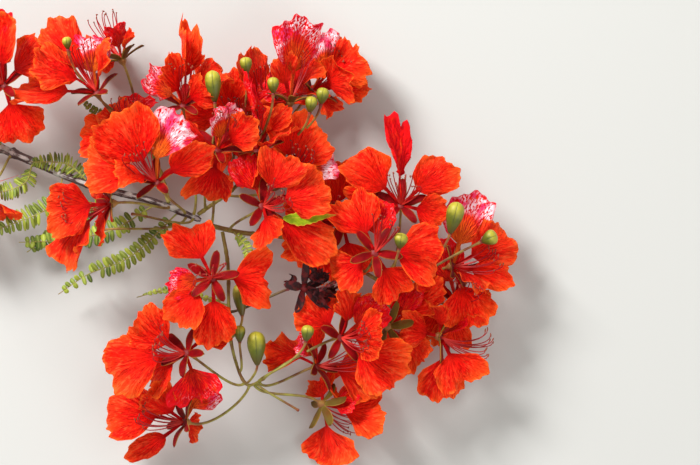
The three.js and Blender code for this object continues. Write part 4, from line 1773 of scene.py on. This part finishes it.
@dataclass(frozen=True)
class Petals:
    """Shapes petals: a narrow claw, and a pleated fan with a crinkled, curling margin.

    A point of the fan has an angle about the claw's end, in radians, and a way out from there to
    the margin, from 0 to 1. Heights are for a fan of the usual width. Each pair bounds a chance.
    """

    claw_rows: int = 5
    fan_rows: int = 21
    columns: int = 45
    crowding: float = 1.35  # draws the fan's rows towards its margin
    thickness: float = 0.42
    usual_width: float = 40.0
    claw_change: Pair = (-0.03, 0.02)
    shoulders: Pair = (0.02, 0.17)
    skew: Pair = (-0.1, 0.1)
    cup: Pair = (-0.3, 0.45)
    twist: Pair = (-0.25, 0.25)
    side_roll: Pair = (-0.05, 0.09)
    tip_roll: Pair = (-0.06, 0.05)
    side_flat: float = 0.27  # of the width, from the midrib to where a side rolls
    tip_flat: float = 0.72  # of the length, to where the tip rolls
    crease: float = 2.0  # how far a fold's bend reaches to each side
    lobes: tuple[Wave, ...] = (Wave(0.05, 2.6), Wave(0.04, 6))
    frills: tuple[Wave, ...] = (Wave(0.034, 14), Wave(0.028, 29))
    ruffles: tuple[Wave, ...] = (Wave(3.0, 4.2, 0, 3), Wave(2.3, 9.5, 3, 4), Wave(1.3, 21, 0, 6))
    crumples: tuple[Wave, ...] = (Wave(1.3, 5, 9), Wave(0.9, -8, 17))
    frill_fold: float = 20.0  # degrees of fold that double the frills
    crumple_fold: float = 30.0  # degrees of fold that crumple the fan in full

    def grids(self) -> tuple[Array, Array, Array]:
        """Lay out a petal's points.

        Returns:
            The share along the claw, the way out over the fan and the place from side to side.
        """
        claw = np.linspace(0, 1, self.claw_rows, endpoint=False)
        fan = 1 - (1 - np.linspace(0, 1, self.fan_rows)) ** self.crowding
        across = np.linspace(-1, 1, self.columns)
        along = np.concatenate([claw, np.ones(self.fan_rows)])
        out = np.concatenate([np.zeros(self.claw_rows), fan])
        claw_grid, across_grid = np.meshgrid(along, across, indexing="ij")
        return claw_grid, np.repeat(out[:, None], self.columns, axis=1), across_grid

    def plain_reach(self, long_axis: float, short_axis: float, angle: Array) -> Array:
        """Return how far the fan's oval reaches from the claw's end.

        Args:
            long_axis: half of the oval's length.
            short_axis: half of its width.
            angle: the angles off the midrib.

        Returns:
            The reach at each angle.
        """
        over = 2 * long_axis * short_axis**2 * np.cos(angle)
        return over / ((short_axis * np.cos(angle)) ** 2 + (long_axis * np.sin(angle)) ** 2)

    def outline(self, angle: Array, out: Array, fold: float, phase: Array, rise: float) -> Array:
        """Return how the fan's reach differs from the oval's, in shoulders, lobes and frills.

        Args:
            angle: each point's angle.
            out: each point's way out.
            fold: the petal's fold in degrees.
            phase: where each wave starts.
            rise: how square the shoulders are.

        Returns:
            The number that the oval's reach is multiplied by at each point.
        """
        squared = rise * (0.25 - np.cos(3.8 * angle))
        lobes = squared + swell(self.lobes, angle, out, phase[:2]) - 0.03
        frills = swell(self.frills, angle, out, phase[2:4]) * (1 + abs(fold) / self.frill_fold)
        return 1 + lobes * out**3 + frills * out**6

    def relief(self, angle: Array, out: Array, fold: float, phase: Array) -> Array:
        """Return the height of the fan's pleats, ruffles, billows and crumples.

        Args:
            angle: each point's angle.
            out: each point's way out.
            fold: the petal's fold in degrees.
            phase: where each wave starts.

        Returns:
            The height at each point of a fan of the usual width.
        """
        bend = 2.2 * np.sin(3 * angle + phase[4]) + 1.2 * np.sin(4 * out + phase[10])
        pleats = 0.9 * np.sin(15 * angle + bend) * (0.5 + 0.5 * out)
        last = phase[7] + 2 * np.sin(5 * angle + phase[11])
        ruffles = swell(self.ruffles, angle, out, (phase[5], phase[6], last))
        billows = np.sin(5.5 * out + 2 * angle + phase[8]) * np.cos(2.4 * angle + phase[9])
        crumples = fold / self.crumple_fold * swell(self.crumples, angle, out, phase[12:])
        return ruffles + (pleats + 2.2 * billows + crumples) * out

    def patch(self, bloom: BloomRow, row: PetalRow, rng: np.random.Generator, tint: float) -> Patch:
        """Return one petal.

        Args:
            bloom: the bloom it is on.
            row: its sizes.
            rng: where its chances come from.
            tint: its shade.

        Returns:
            The patch.
        """
        aim = heading(row.aim, row.lift)
        face = spun(square_to(aim, heading(*bloom.faces)), aim, row.turn)
        length = row.length - ROOT_REACH
        phase = rng.uniform(0, FULL_TURN, 14)
        claw, out, across = self.grids()
        start = CLAW_SHARE + rng.uniform(*self.claw_change)
        angle = across * math.radians(FAN_SPREAD)
        oval = self.plain_reach(0.5 * (1 - start) * length, row.width / 2, angle)
        shoulders = rng.uniform(*self.shoulders)
        reach = oval * out * self.outline(angle, out, row.fold, phase, shoulders)
        claw_width = CLAW_HALF_WIDTH * (0.75 + 0.5 * claw) * (1 - out) ** 0.5
        skew = rng.uniform(*self.skew)
        run = length * start * claw + reach * np.cos(angle)
        sideways = reach * np.sin(angle) + claw_width * across + skew * run**2 / length * out
        fold = math.radians(row.fold)
        rise = row.width / self.usual_width * self.relief(angle, out, row.fold, phase)
        rise = rise + rng.uniform(*self.cup) * sideways**2 / row.width
        rise = rise + rng.uniform(*self.twist) * sideways * out
        rise = rise + math.sin(fold) * np.sqrt(sideways**2 + self.crease**2)
        sideways = sideways * math.cos(fold)
        for sign in (-1, 1):
            bend = rng.uniform(*self.side_roll)
            edge, up = rolled(sideways * sign, self.side_flat * row.width, bend)
            sideways = edge * sign
            rise = rise + up
        run, up = rolled(run, self.tip_flat * length, rng.uniform(*self.tip_roll))
        blade = Blade(vector(bloom.at) + aim * ROOT_REACH, aim, face, length, row.arch)
        middle = blade.points(run / length, sideways, rise + up)
        thickness = self.thickness * (1.4 - 0.9 * out) + 0.5 * (1 - claw)
        place = np.stack([start * claw + (1 - start) * out, across], axis=-1)
        return sheet_patch(middle, thickness, place, tint)


@dataclass
class Blooms:
    """Every open bloom: petals, standard, calyx and stamens."""

    stems: Stems
    workshop: Workshop
    petals: Petals = Petals()
    sepal_rows: int = 14
    sepal_columns: int = 9
    stalk_sides: int = 10
    stamen_count: int = 10
    stamen_radii: Pair = (0.62, 0.36)  # at its foot and under its anther
    anther_half: float = 1.5
    cup_rise: float = 0.8  # past where the petals meet

    def sepal(self, bloom: BloomRow, number: int, rng: np.random.Generator) -> Patch:
        """Return one strap-shaped sepal.

        Args:
            bloom: the bloom it is on.
            number: which of the five it is.
            rng: where its chances come from.

        Returns:
            The patch.
        """
        axis = heading(*bloom.faces)
        outward = spun(square_to(axis, UP), axis, bloom.turn + 360 / SEPAL_COUNT * number)
        spread = math.radians(SEPAL_SPREAD)
        aim = axis * math.cos(spread) + outward * math.sin(spread)
        rows, columns = np.linspace(0, 1, self.sepal_rows), np.linspace(-1, 1, self.sepal_columns)
        along, across = np.meshgrid(rows, columns, indexing="ij")
        width = (0.6 + 0.45 * ease(0, 0.45, along)) * np.sqrt(1 - along**5) + 0.03
        half = SEPAL_HALF_WIDTH * 1.1 * width
        wave = 0.35 * np.sin(7 * along + rng.uniform(0, 6))
        reach = SEPAL_REACH * 0.6
        root = vector(bloom.at) - axis * SEPAL_DROP + aim * reach
        blade = Blade(root, aim, square_to(aim, axis), SEPAL_LENGTH - reach, SEPAL_ARCH)
        middle = blade.points(along, half * across, 0.28 * half * across**2 + wave * np.abs(across))
        place = np.stack([along, across], axis=-1)
        return sheet_patch(middle, 0.9 - 0.5 * across**2, place, rng.random())

    def stamens(self, bloom: BloomRow, rng: np.random.Generator) -> list[Patch]:
        """Return the stamens, in a fan that curls up, each with its anther.

        Args:
            bloom: the bloom they are on.
            rng: where their chances come from.

        Returns:
            The patches.
        """
        aim, lift, length = bloom.stamens or (*bloom.faces, STAMEN_LENGTH)
        middle = heading(aim, lift)
        upright = square_to(middle, UP)
        sideways = np.cross(middle, upright)
        root = vector(bloom.at)
        made = []
        for number in range(self.stamen_count):
            fan = STAMEN_SPREAD * (number / (self.stamen_count - 1) - 0.5)
            way = spun(middle, upright, fan * 0.95 + rng.uniform(-3, 3))
            way = unit(spun(way, sideways, rng.uniform(-9, 6)))
            reach = length * rng.uniform(0.8, 0.97)
            over = square_to(way, UP)
            tip = root + way * reach
            side = np.cross(way, over)
            sway = side * (rng.uniform(-0.08, 0.08) - 0.2 * side[1])
            path = Path.bezier(
                root,
                root + (way * 0.4 - over * STAMEN_SAG + sway) * reach,
                tip + (sway * 0.8 - over * 0.16) * reach,
                tip,
            )
            made.append(self.thread(path))
            half = (over * 0.6 + way * rng.uniform(-0.5, 0.5) + sway * 4) * self.anther_half
            made.append(self.anther(Path(np.array([tip - half, tip + half]))))
        return made

    def thread(self, path: Path) -> Patch:
        """Return a stamen's tapering thread, in the tint of a thread."""
        thick, thin = self.stamen_radii
        return tube_patch(path, 12, 6, lambda share, _turn: thick + (thin - thick) * share, 0.3)

    def anther(self, path: Path) -> Patch:
        """Return a stamen's oval anther, in the tint of an anther."""
        rings = np.array([0.0, 0.15, 0.5, 0.85, 1.0])
        return tube_patch(
            path, rings, 6, lambda share, _turn: 0.12 + 0.58 * np.sin(math.pi * share), 1.0
        )

    def stalk(self, bloom: BloomRow) -> Patch:
        """Return the stalk and the cup that the petals stand in.

        Args:
            bloom: the bloom they carry.

        Returns:
            The patch.
        """
        axis = heading(*bloom.faces)
        at = vector(bloom.at)
        line = self.stems.stalk(bloom.seat, at - axis * CUP_LENGTH, axis)
        path = Path(np.concatenate([line.dots, [at + axis * self.cup_rise]]))
        cup_share = 1 - (CUP_LENGTH + self.cup_rise) / path.length

        def radius(share: Array, turn: Array) -> Array:
            """Return the stalk's radius, which widens into a ribbed cup.

            Args:
                share: shares of its length.
                turn: turns round it.

            Returns:
                The radius at each point.
            """
            rise = np.clip((share - cup_share) / (1 - cup_share), 0, 1)
            cup = 2.5 * ease(0.0, 0.7, rise) * (1 + 0.08 * np.cos(5 * turn))
            close = 1 - 0.55 * ease(0.86, 1.0, rise)
            foot = 0.35 * (1 - ease(0.0, 0.05, share))
            joint = 0.22 * np.exp(-(((share - cup_share * 0.9) / 0.012) ** 2))
            return (STALK_RADIUS * 0.94 + cup + foot + joint) * close

        rings = np.concatenate([np.linspace(0, cup_share, 34), np.linspace(cup_share, 1, 16)[1:]])
        return tube_patch(path, rings, self.stalk_sides, radius)

    def build(self, name: str, bloom: BloomRow, rng: np.random.Generator) -> None:
        """Build one bloom as five pieces.

        Args:
            name: its node.
            bloom: its row.
            rng: where its chances come from.
        """
        age = rng.random()
        petals = []
        for row in bloom.petals[1:]:
            tint = float(np.clip(0.35 + 0.45 * age + rng.uniform(-0.3, 0.3), 0, 1))
            petals.append(self.petals.patch(bloom, row, rng, tint))
        tint = STANDARD_TINTS.get(name, MOSTLY_RED)
        standard = [self.petals.patch(bloom, bloom.petals[0], rng, tint)]
        sepals = [self.sepal(bloom, number, rng) for number in range(SEPAL_COUNT)]
        parts = (
            ("petals", petals, PetalFinish()),
            ("standard", standard, StandardFinish()),
            ("sepals", sepals, SepalFinish()),
            ("stalk", [self.stalk(bloom)], StalkFinish()),
            ("stamens", self.stamens(bloom, rng), FilamentFinish()),
        )
        for part, patches, finish in parts:
            self.workshop.piece(f"{name}_{part}", patches, finish, name)

    def build_withered(self, name: str, bloom: BloomRow, rng: np.random.Generator) -> None:
        """Build the bloom that has dried, as crumpled petals on a dry stalk.

        Args:
            name: its node.
            bloom: its row.
            rng: where its chances come from.
        """
        petals = []
        for row in bloom.petals:
            patch = self.petals.patch(bloom, row, rng, 0.5)
            crumple = rng.normal(0, 0.25, patch.points.shape)
            wave = np.sin(patch.points[:, [1, 2, 0]] * 0.9 + rng.uniform(0, 6, 3))
            patch.points = patch.points + crumple * 0.3 + wave * 1.1
            petals.append(patch)
        petals += [self.sepal(bloom, number, rng) for number in range(SEPAL_COUNT)]
        self.workshop.piece(f"{name}_petals", petals, WitheredFinish(), name)
        finish = StalkFinish("dry_stalk", green=paint(112, 92, 50), brown=paint(70, 44, 30))
        self.workshop.piece(f"{name}_stalk", [self.stalk(bloom)], finish, name)


@dataclass
class Buds:
    """The closed buds and the stalks that have lost their bloom."""

    stems: Stems
    workshop: Workshop
    head_sides: int = 30
    stalk_sides: int = 10

    def head(self, row: BudRow) -> Patch:
        """Return a bud's egg-shaped head with five seams and a blunt tip.

        Args:
            row: the bud.

        Returns:
            The patch.
        """
        base, tip = vector(row.base), vector(row.tip)
        path = Path(np.array([base - unit(tip - base) * 0.5, tip]))

        def radius(share: Array, turn: Array) -> Array:
            """Return the head's radius.

            Args:
                share: shares of its length.
                turn: turns round it.

            Returns:
                The radius at each point.
            """
            seam = np.exp(-((np.abs(np.sin(2.5 * turn)) / 0.16) ** 2)) * ease(0.3, 0.5, share)
            oval = 1 + 0.02 * np.sin(2 * turn + row.radius)
            return row.radius * BUD_OUTLINE.at(share) * (1 - 0.05 * seam) * oval

        return tube_patch(path, rings=26, sides=self.head_sides, radius=radius)

    def stalk(self, row: BudRow) -> Patch:
        """Return a bud's stalk.

        Args:
            row: the bud.

        Returns:
            The patch.
        """
        base, tip = vector(row.base), vector(row.tip)
        path = self.stems.stalk(row.seat, base, unit(tip - base))

        def radius(share: Array, _turn: Array) -> Array:
            """Return the stalk's radius, wider at both ends."""
            foot = 0.3 * (1 - ease(0, 0.06, share))
            return STALK_RADIUS * (0.88 + foot + 0.5 * ease(0.93, 1, share))

        return tube_patch(path, rings=36, sides=self.stalk_sides, radius=radius)

    def bare_stalk(self, row: BareStalkRow) -> Patch:
        """Return a stalk that ends in the scar of its bloom.

        Args:
            row: the stalk.

        Returns:
            The patch.
        """
        end = vector(row.end)
        foot, _ = self.stems.seat(row.seat, end)
        path = self.stems.stalk(row.seat, end, unit(end - foot))

        def radius(share: Array, _turn: Array) -> Array:
            """Return the stalk's radius, with a knob at its end."""
            knob = 0.35 * np.exp(-(((share - 0.975) / 0.02) ** 2))
            return STALK_RADIUS * (0.85 + 0.3 * (1 - ease(0, 0.06, share)) + knob)

        return tube_patch(path, rings=40, sides=self.stalk_sides, radius=radius)

    def build(self, rows: dict[str, BudRow], bare: dict[str, BareStalkRow]) -> None:
        """Build every bud and bare stalk.

        Args:
            rows: the buds.
            bare: the bare stalks.
        """
        for name, row in rows.items():
            self.workshop.piece(f"{name}_head", [self.head(row)], BudFinish(), name)
            self.workshop.piece(f"{name}_stalk", [self.stalk(row)], StalkFinish(), name)
        for name, row in bare.items():
            self.workshop.piece(f"{name}_skin", [self.bare_stalk(row)], StalkFinish(), name)


@dataclass
class Fronds:
    """The feathery leaves."""

    stems: Stems
    workshop: Workshop
    more: int = 3  # leaflets for each one in the source
    fallen: float = 0.07  # share of the leaflets that are gone
    leaflet_thickness: float = 0.28
    rib_radii: Pair = (0.75, 0.35)  # at its foot and at its tip
    sunk: float = 0.6  # how far its foot is behind its seat

    def leaflet(self, root: Array, way: Array, over: Array, size: Pair, tint: float) -> Patch:
        """Return one oblong leaflet.

        Args:
            root: where it leaves the rib.
            way: the way it points.
            over: the way its upper side looks.
            size: its length and half its width.
            tint: its shade.

        Returns:
            The patch.
        """
        length, width = size
        along, across = np.meshgrid(LEAFLET_OUTLINE.shares, (-1.0, 0.0, 1.0), indexing="ij")
        half = width * LEAFLET_OUTLINE.at(along)
        lift = 0.3 * half * np.abs(across) - 0.16 * length * along**2
        middle = (
            root
            + (along * length)[..., None] * way
            + (across * half)[..., None] * np.cross(over, way)
            + lift[..., None] * over
        )
        thickness = np.full(along.shape, self.leaflet_thickness)
        return sheet_patch(middle, thickness, np.stack([along, across], axis=-1), tint)

    def leaflets(self, row: FrondRow, path: Path, rng: np.random.Generator) -> list[Patch]:
        """Return a frond's leaflets, in pairs that are longest at the middle of the rib.

        Args:
            row: the frond.
            path: its rib.
            rng: where their chances come from.

        Returns:
            The patches.
        """
        pitch = 1 / (row.pairs + 1)
        count = row.pairs * self.more
        made = []
        for number in range(count):
            share = pitch * (0.75 + number / self.more)
            place, along = path.at(share), path.along(share)
            over = square_to(along, UP)
            full = row.leaflet * math.sin(math.pi * (0.2 + 0.65 * (number + 1) / count))
            for sign in (-1, 1):
                across = np.cross(over, along) * sign
                tilt = rng.normal(-0.05, 0.28)
                way = unit(across + along * (LEAFLET_LEAN + rng.normal(0, 0.13)) + over * tilt)
                width = path.length * pitch * 0.45 / self.more * rng.uniform(0.9, 1.15)
                if rng.random() < self.fallen:
                    continue
                size = (full * rng.uniform(0.88, 1.05), width)
                made.append(self.leaflet(place, way, square_to(way, over), size, rng.random()))
        return made

    def build(self, name: str, row: FrondRow, rng: np.random.Generator) -> None:
        """Build one frond as its rib and its leaflets.

        Args:
            name: its node.
            row: its row.
            rng: where its chances come from.
        """
        foot, out = self.stems.seat(row.seat, vector(row.points[0]))
        path = Path.through([foot - out * self.sunk, *row.points])
        thick, thin = self.rib_radii
        rib = tube_patch(path, 60, 8, lambda share, _turn: thick + (thin - thick) * share)
        green, brown = paint(168, 172, 78), paint(140, 120, 60)
        finish = StalkFinish("frond_rib", "leaf", green=green, brown=brown, reddening=0.1)
        self.workshop.piece(f"{name}_rib", [rib], finish, name)
        leaflets = self.leaflets(row, path, rng)
        self.workshop.piece(f"{name}_leaflets", leaflets, LeafFinish(), name)


@dataclass
class BroadLeaf:
    """The one broad leaf, between two petals at the middle of the spray."""

    stems: Stems
    workshop: Workshop
    seat: Seat = Seat("stem_east", 0.33)
    stalk_points: tuple[Triple, ...] = ((-61, 4, 58), (-57.5, 10, 78.5), (-53, 11.5, 84))
    blade_points: tuple[Triple, ...] = (
        (-53, 11.5, 84),
        (-40, 11.8, 85),
        (-25, 13, 84.4),
        (-11, 14, 82.5),
    )
    stalk_radii: Pair = (0.9, 0.55)  # at its foot and under the blade
    sunk: float = 0.6  # how far its foot is behind its seat
    lower_width: float = 6.8
    upper_width: float = 4.4
    thickness: float = 0.35
    rows: int = 40
    columns: int = 15

    def blade(self) -> Patch:
        """Shape the blade: widest at a third, wavy, and folded a little along its rib.

        Returns:
            The patch.
        """
        path = Path.through(self.blade_points)
        rows, columns = np.linspace(0, 1, self.rows), np.linspace(-1, 1, self.columns)
        share, across = np.meshgrid(rows, columns, indexing="ij")
        over = square_to(path.along(0.5), UP)
        side = unit(np.cross(over, path.along(rows)[:, None, :]))
        teeth = 1 + 0.07 * np.sin(54 * share) * np.abs(across)
        width = np.where(across < 0, self.lower_width, self.upper_width)
        half = BROAD_LEAF_OUTLINE.at(share) * width * teeth
        lift = 0.14 * half * np.abs(across) + 0.35 * np.sin(21 * share + 2) * across**2
        middle = path.at(rows)[:, None, :] + (across * half)[..., None] * side
        middle = middle + lift[..., None] * over
        place = np.stack([share, across], axis=-1)
        return sheet_patch(middle, np.full(share.shape, self.thickness), place, 0.5)

    def build(self) -> None:
        """Build the leaf as its stalk and its blade, which stand for no node."""
        foot, out = self.stems.seat(self.seat, vector(self.stalk_points[0]))
        path = Path.through([foot - out * self.sunk, *self.stalk_points])
        thick, thin = self.stalk_radii
        stalk = tube_patch(path, 40, 8, lambda share, _turn: thick + (thin - thick) * share)
        self.workshop.piece("leaf_centre_stalk", [stalk], StalkFinish())
        self.workshop.piece("leaf_centre_blade", [self.blade()], BroadLeafFinish())


class Softness(Enum):
    """How large a lamp is, in metres."""

    BROAD = 0.9
    WIDE = 2.4


@dataclass(frozen=True)
class Lamp:
    """An area lamp that points at the spray: its name, place in metres, watts and softness."""

    name: str
    place: Triple
    power: float
    softness: Softness

    def turn(self, target: Triple) -> Triple:
        """Return the turn that points the lamp at a target."""
        way = unit(vector(target) - vector(self.place)).tolist()
        return (math.acos(-way[2]), 0.0, math.atan2(way[1], way[0]) - math.pi / 2)

    def build(self, target: Triple) -> None:
        """Add the lamp to the scene.

        Args:
            target: what it points at.
        """
        lamp = bpy.data.lights.new(self.name, "AREA")
        lamp.energy = self.power
        lamp.size = self.softness.value
        body = bpy.data.objects.new(self.name, lamp)
        body.location = self.place
        body.rotation_euler = self.turn(target)
        bpy.context.scene.collection.objects.link(body)


@dataclass
class Studio:
    """The floor, the soft lamps and the camera that looks down on the spray."""

    workshop: Workshop
    floor_reach: float = 6.0
    lamps: tuple[Lamp, ...] = (
        Lamp("key", (-1.4, 1.7, 1.7), 114.0, Softness.BROAD),
        Lamp("fill", (1.7, -1.3, 1.9), 34.0, Softness.WIDE),
    )
    lamp_target: Triple = (0.0, 0.0, 0.05)
    sky: Triple = (1.0, 0.99, 0.96)
    sky_strength: float = 0.45
    lens: float = 200.0
    sensor: float = 36.0
    far_clip: float = 50.0
    image_width: int = 700
    millimetres_to_pixel: float = 0.8
    middle_height: float = 60.0

    def build_floor(self) -> None:
        """Build the floor."""
        far = self.floor_reach
        corners = [(-far, -far, 0), (far, -far, 0), (far, far, 0), (-far, far, 0)]
        mesh = bpy.data.meshes.new("floor")
        mesh.from_pydata(corners, [], [(0, 1, 2, 3)])
        mesh.materials.append(self.workshop.material(FloorFinish()))
        floor = bpy.data.objects.new("floor", mesh)
        bpy.context.scene.collection.objects.link(floor)

    def build_light(self) -> None:
        """Light the scene softly from above, stronger from the upper left."""
        for lamp in self.lamps:
            lamp.build(self.lamp_target)
        world = bpy.data.worlds.new("studio")
        world.use_nodes = True
        sky = world.node_tree.nodes["Background"]
        sky.inputs["Color"].default_value = (*self.sky, 1.0)
        sky.inputs["Strength"].default_value = self.sky_strength
        bpy.context.scene.world = world

    def build_camera(self) -> None:
        """Set the camera square over the frame that the rows were measured in."""
        lens = bpy.data.cameras.new("camera")
        lens.lens = self.lens
        lens.sensor_width = self.sensor
        lens.clip_end = self.far_clip
        width = self.image_width * self.millimetres_to_pixel
        height = (width * self.lens / self.sensor + self.middle_height) / MM_IN_M
        camera = bpy.data.objects.new("camera", lens)
        camera.location = (SHIFT[0] / MM_IN_M, SHIFT[1] / MM_IN_M, height)
        bpy.context.scene.collection.objects.link(camera)
        bpy.context.scene.camera = camera

    def build(self) -> None:
        """Build the whole set."""
        bpy.context.scene.view_settings.view_transform = "Standard"
        self.build_floor()
        self.build_light()
        self.build_camera()


def main() -> None:
    """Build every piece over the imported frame."""
    logging.basicConfig(level=logging.INFO, format="%(message)s")
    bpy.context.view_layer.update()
    workshop = Workshop()
    Studio(workshop).build()
    stems = Stems(STEMS, workshop)
    stems.build(np.random.default_rng(STEM_SEED))
    blooms = Blooms(stems, workshop)
    for number, (name, row) in enumerate(BLOOMS.items()):
        blooms.build(name, row, np.random.default_rng(BLOOM_SEED + number))
    blooms.build_withered("bloom_withered", WITHERED, np.random.default_rng(WITHERED_SEED))
    Buds(stems, workshop).build(BUDS, BARE_STALKS)
    fronds = Fronds(stems, workshop)
    for number, (name, row) in enumerate(FRONDS.items()):
        fronds.build(name, row, np.random.default_rng(FROND_SEED + number))
    BroadLeaf(stems, workshop).build()


if __name__ == "__main__":
    main()
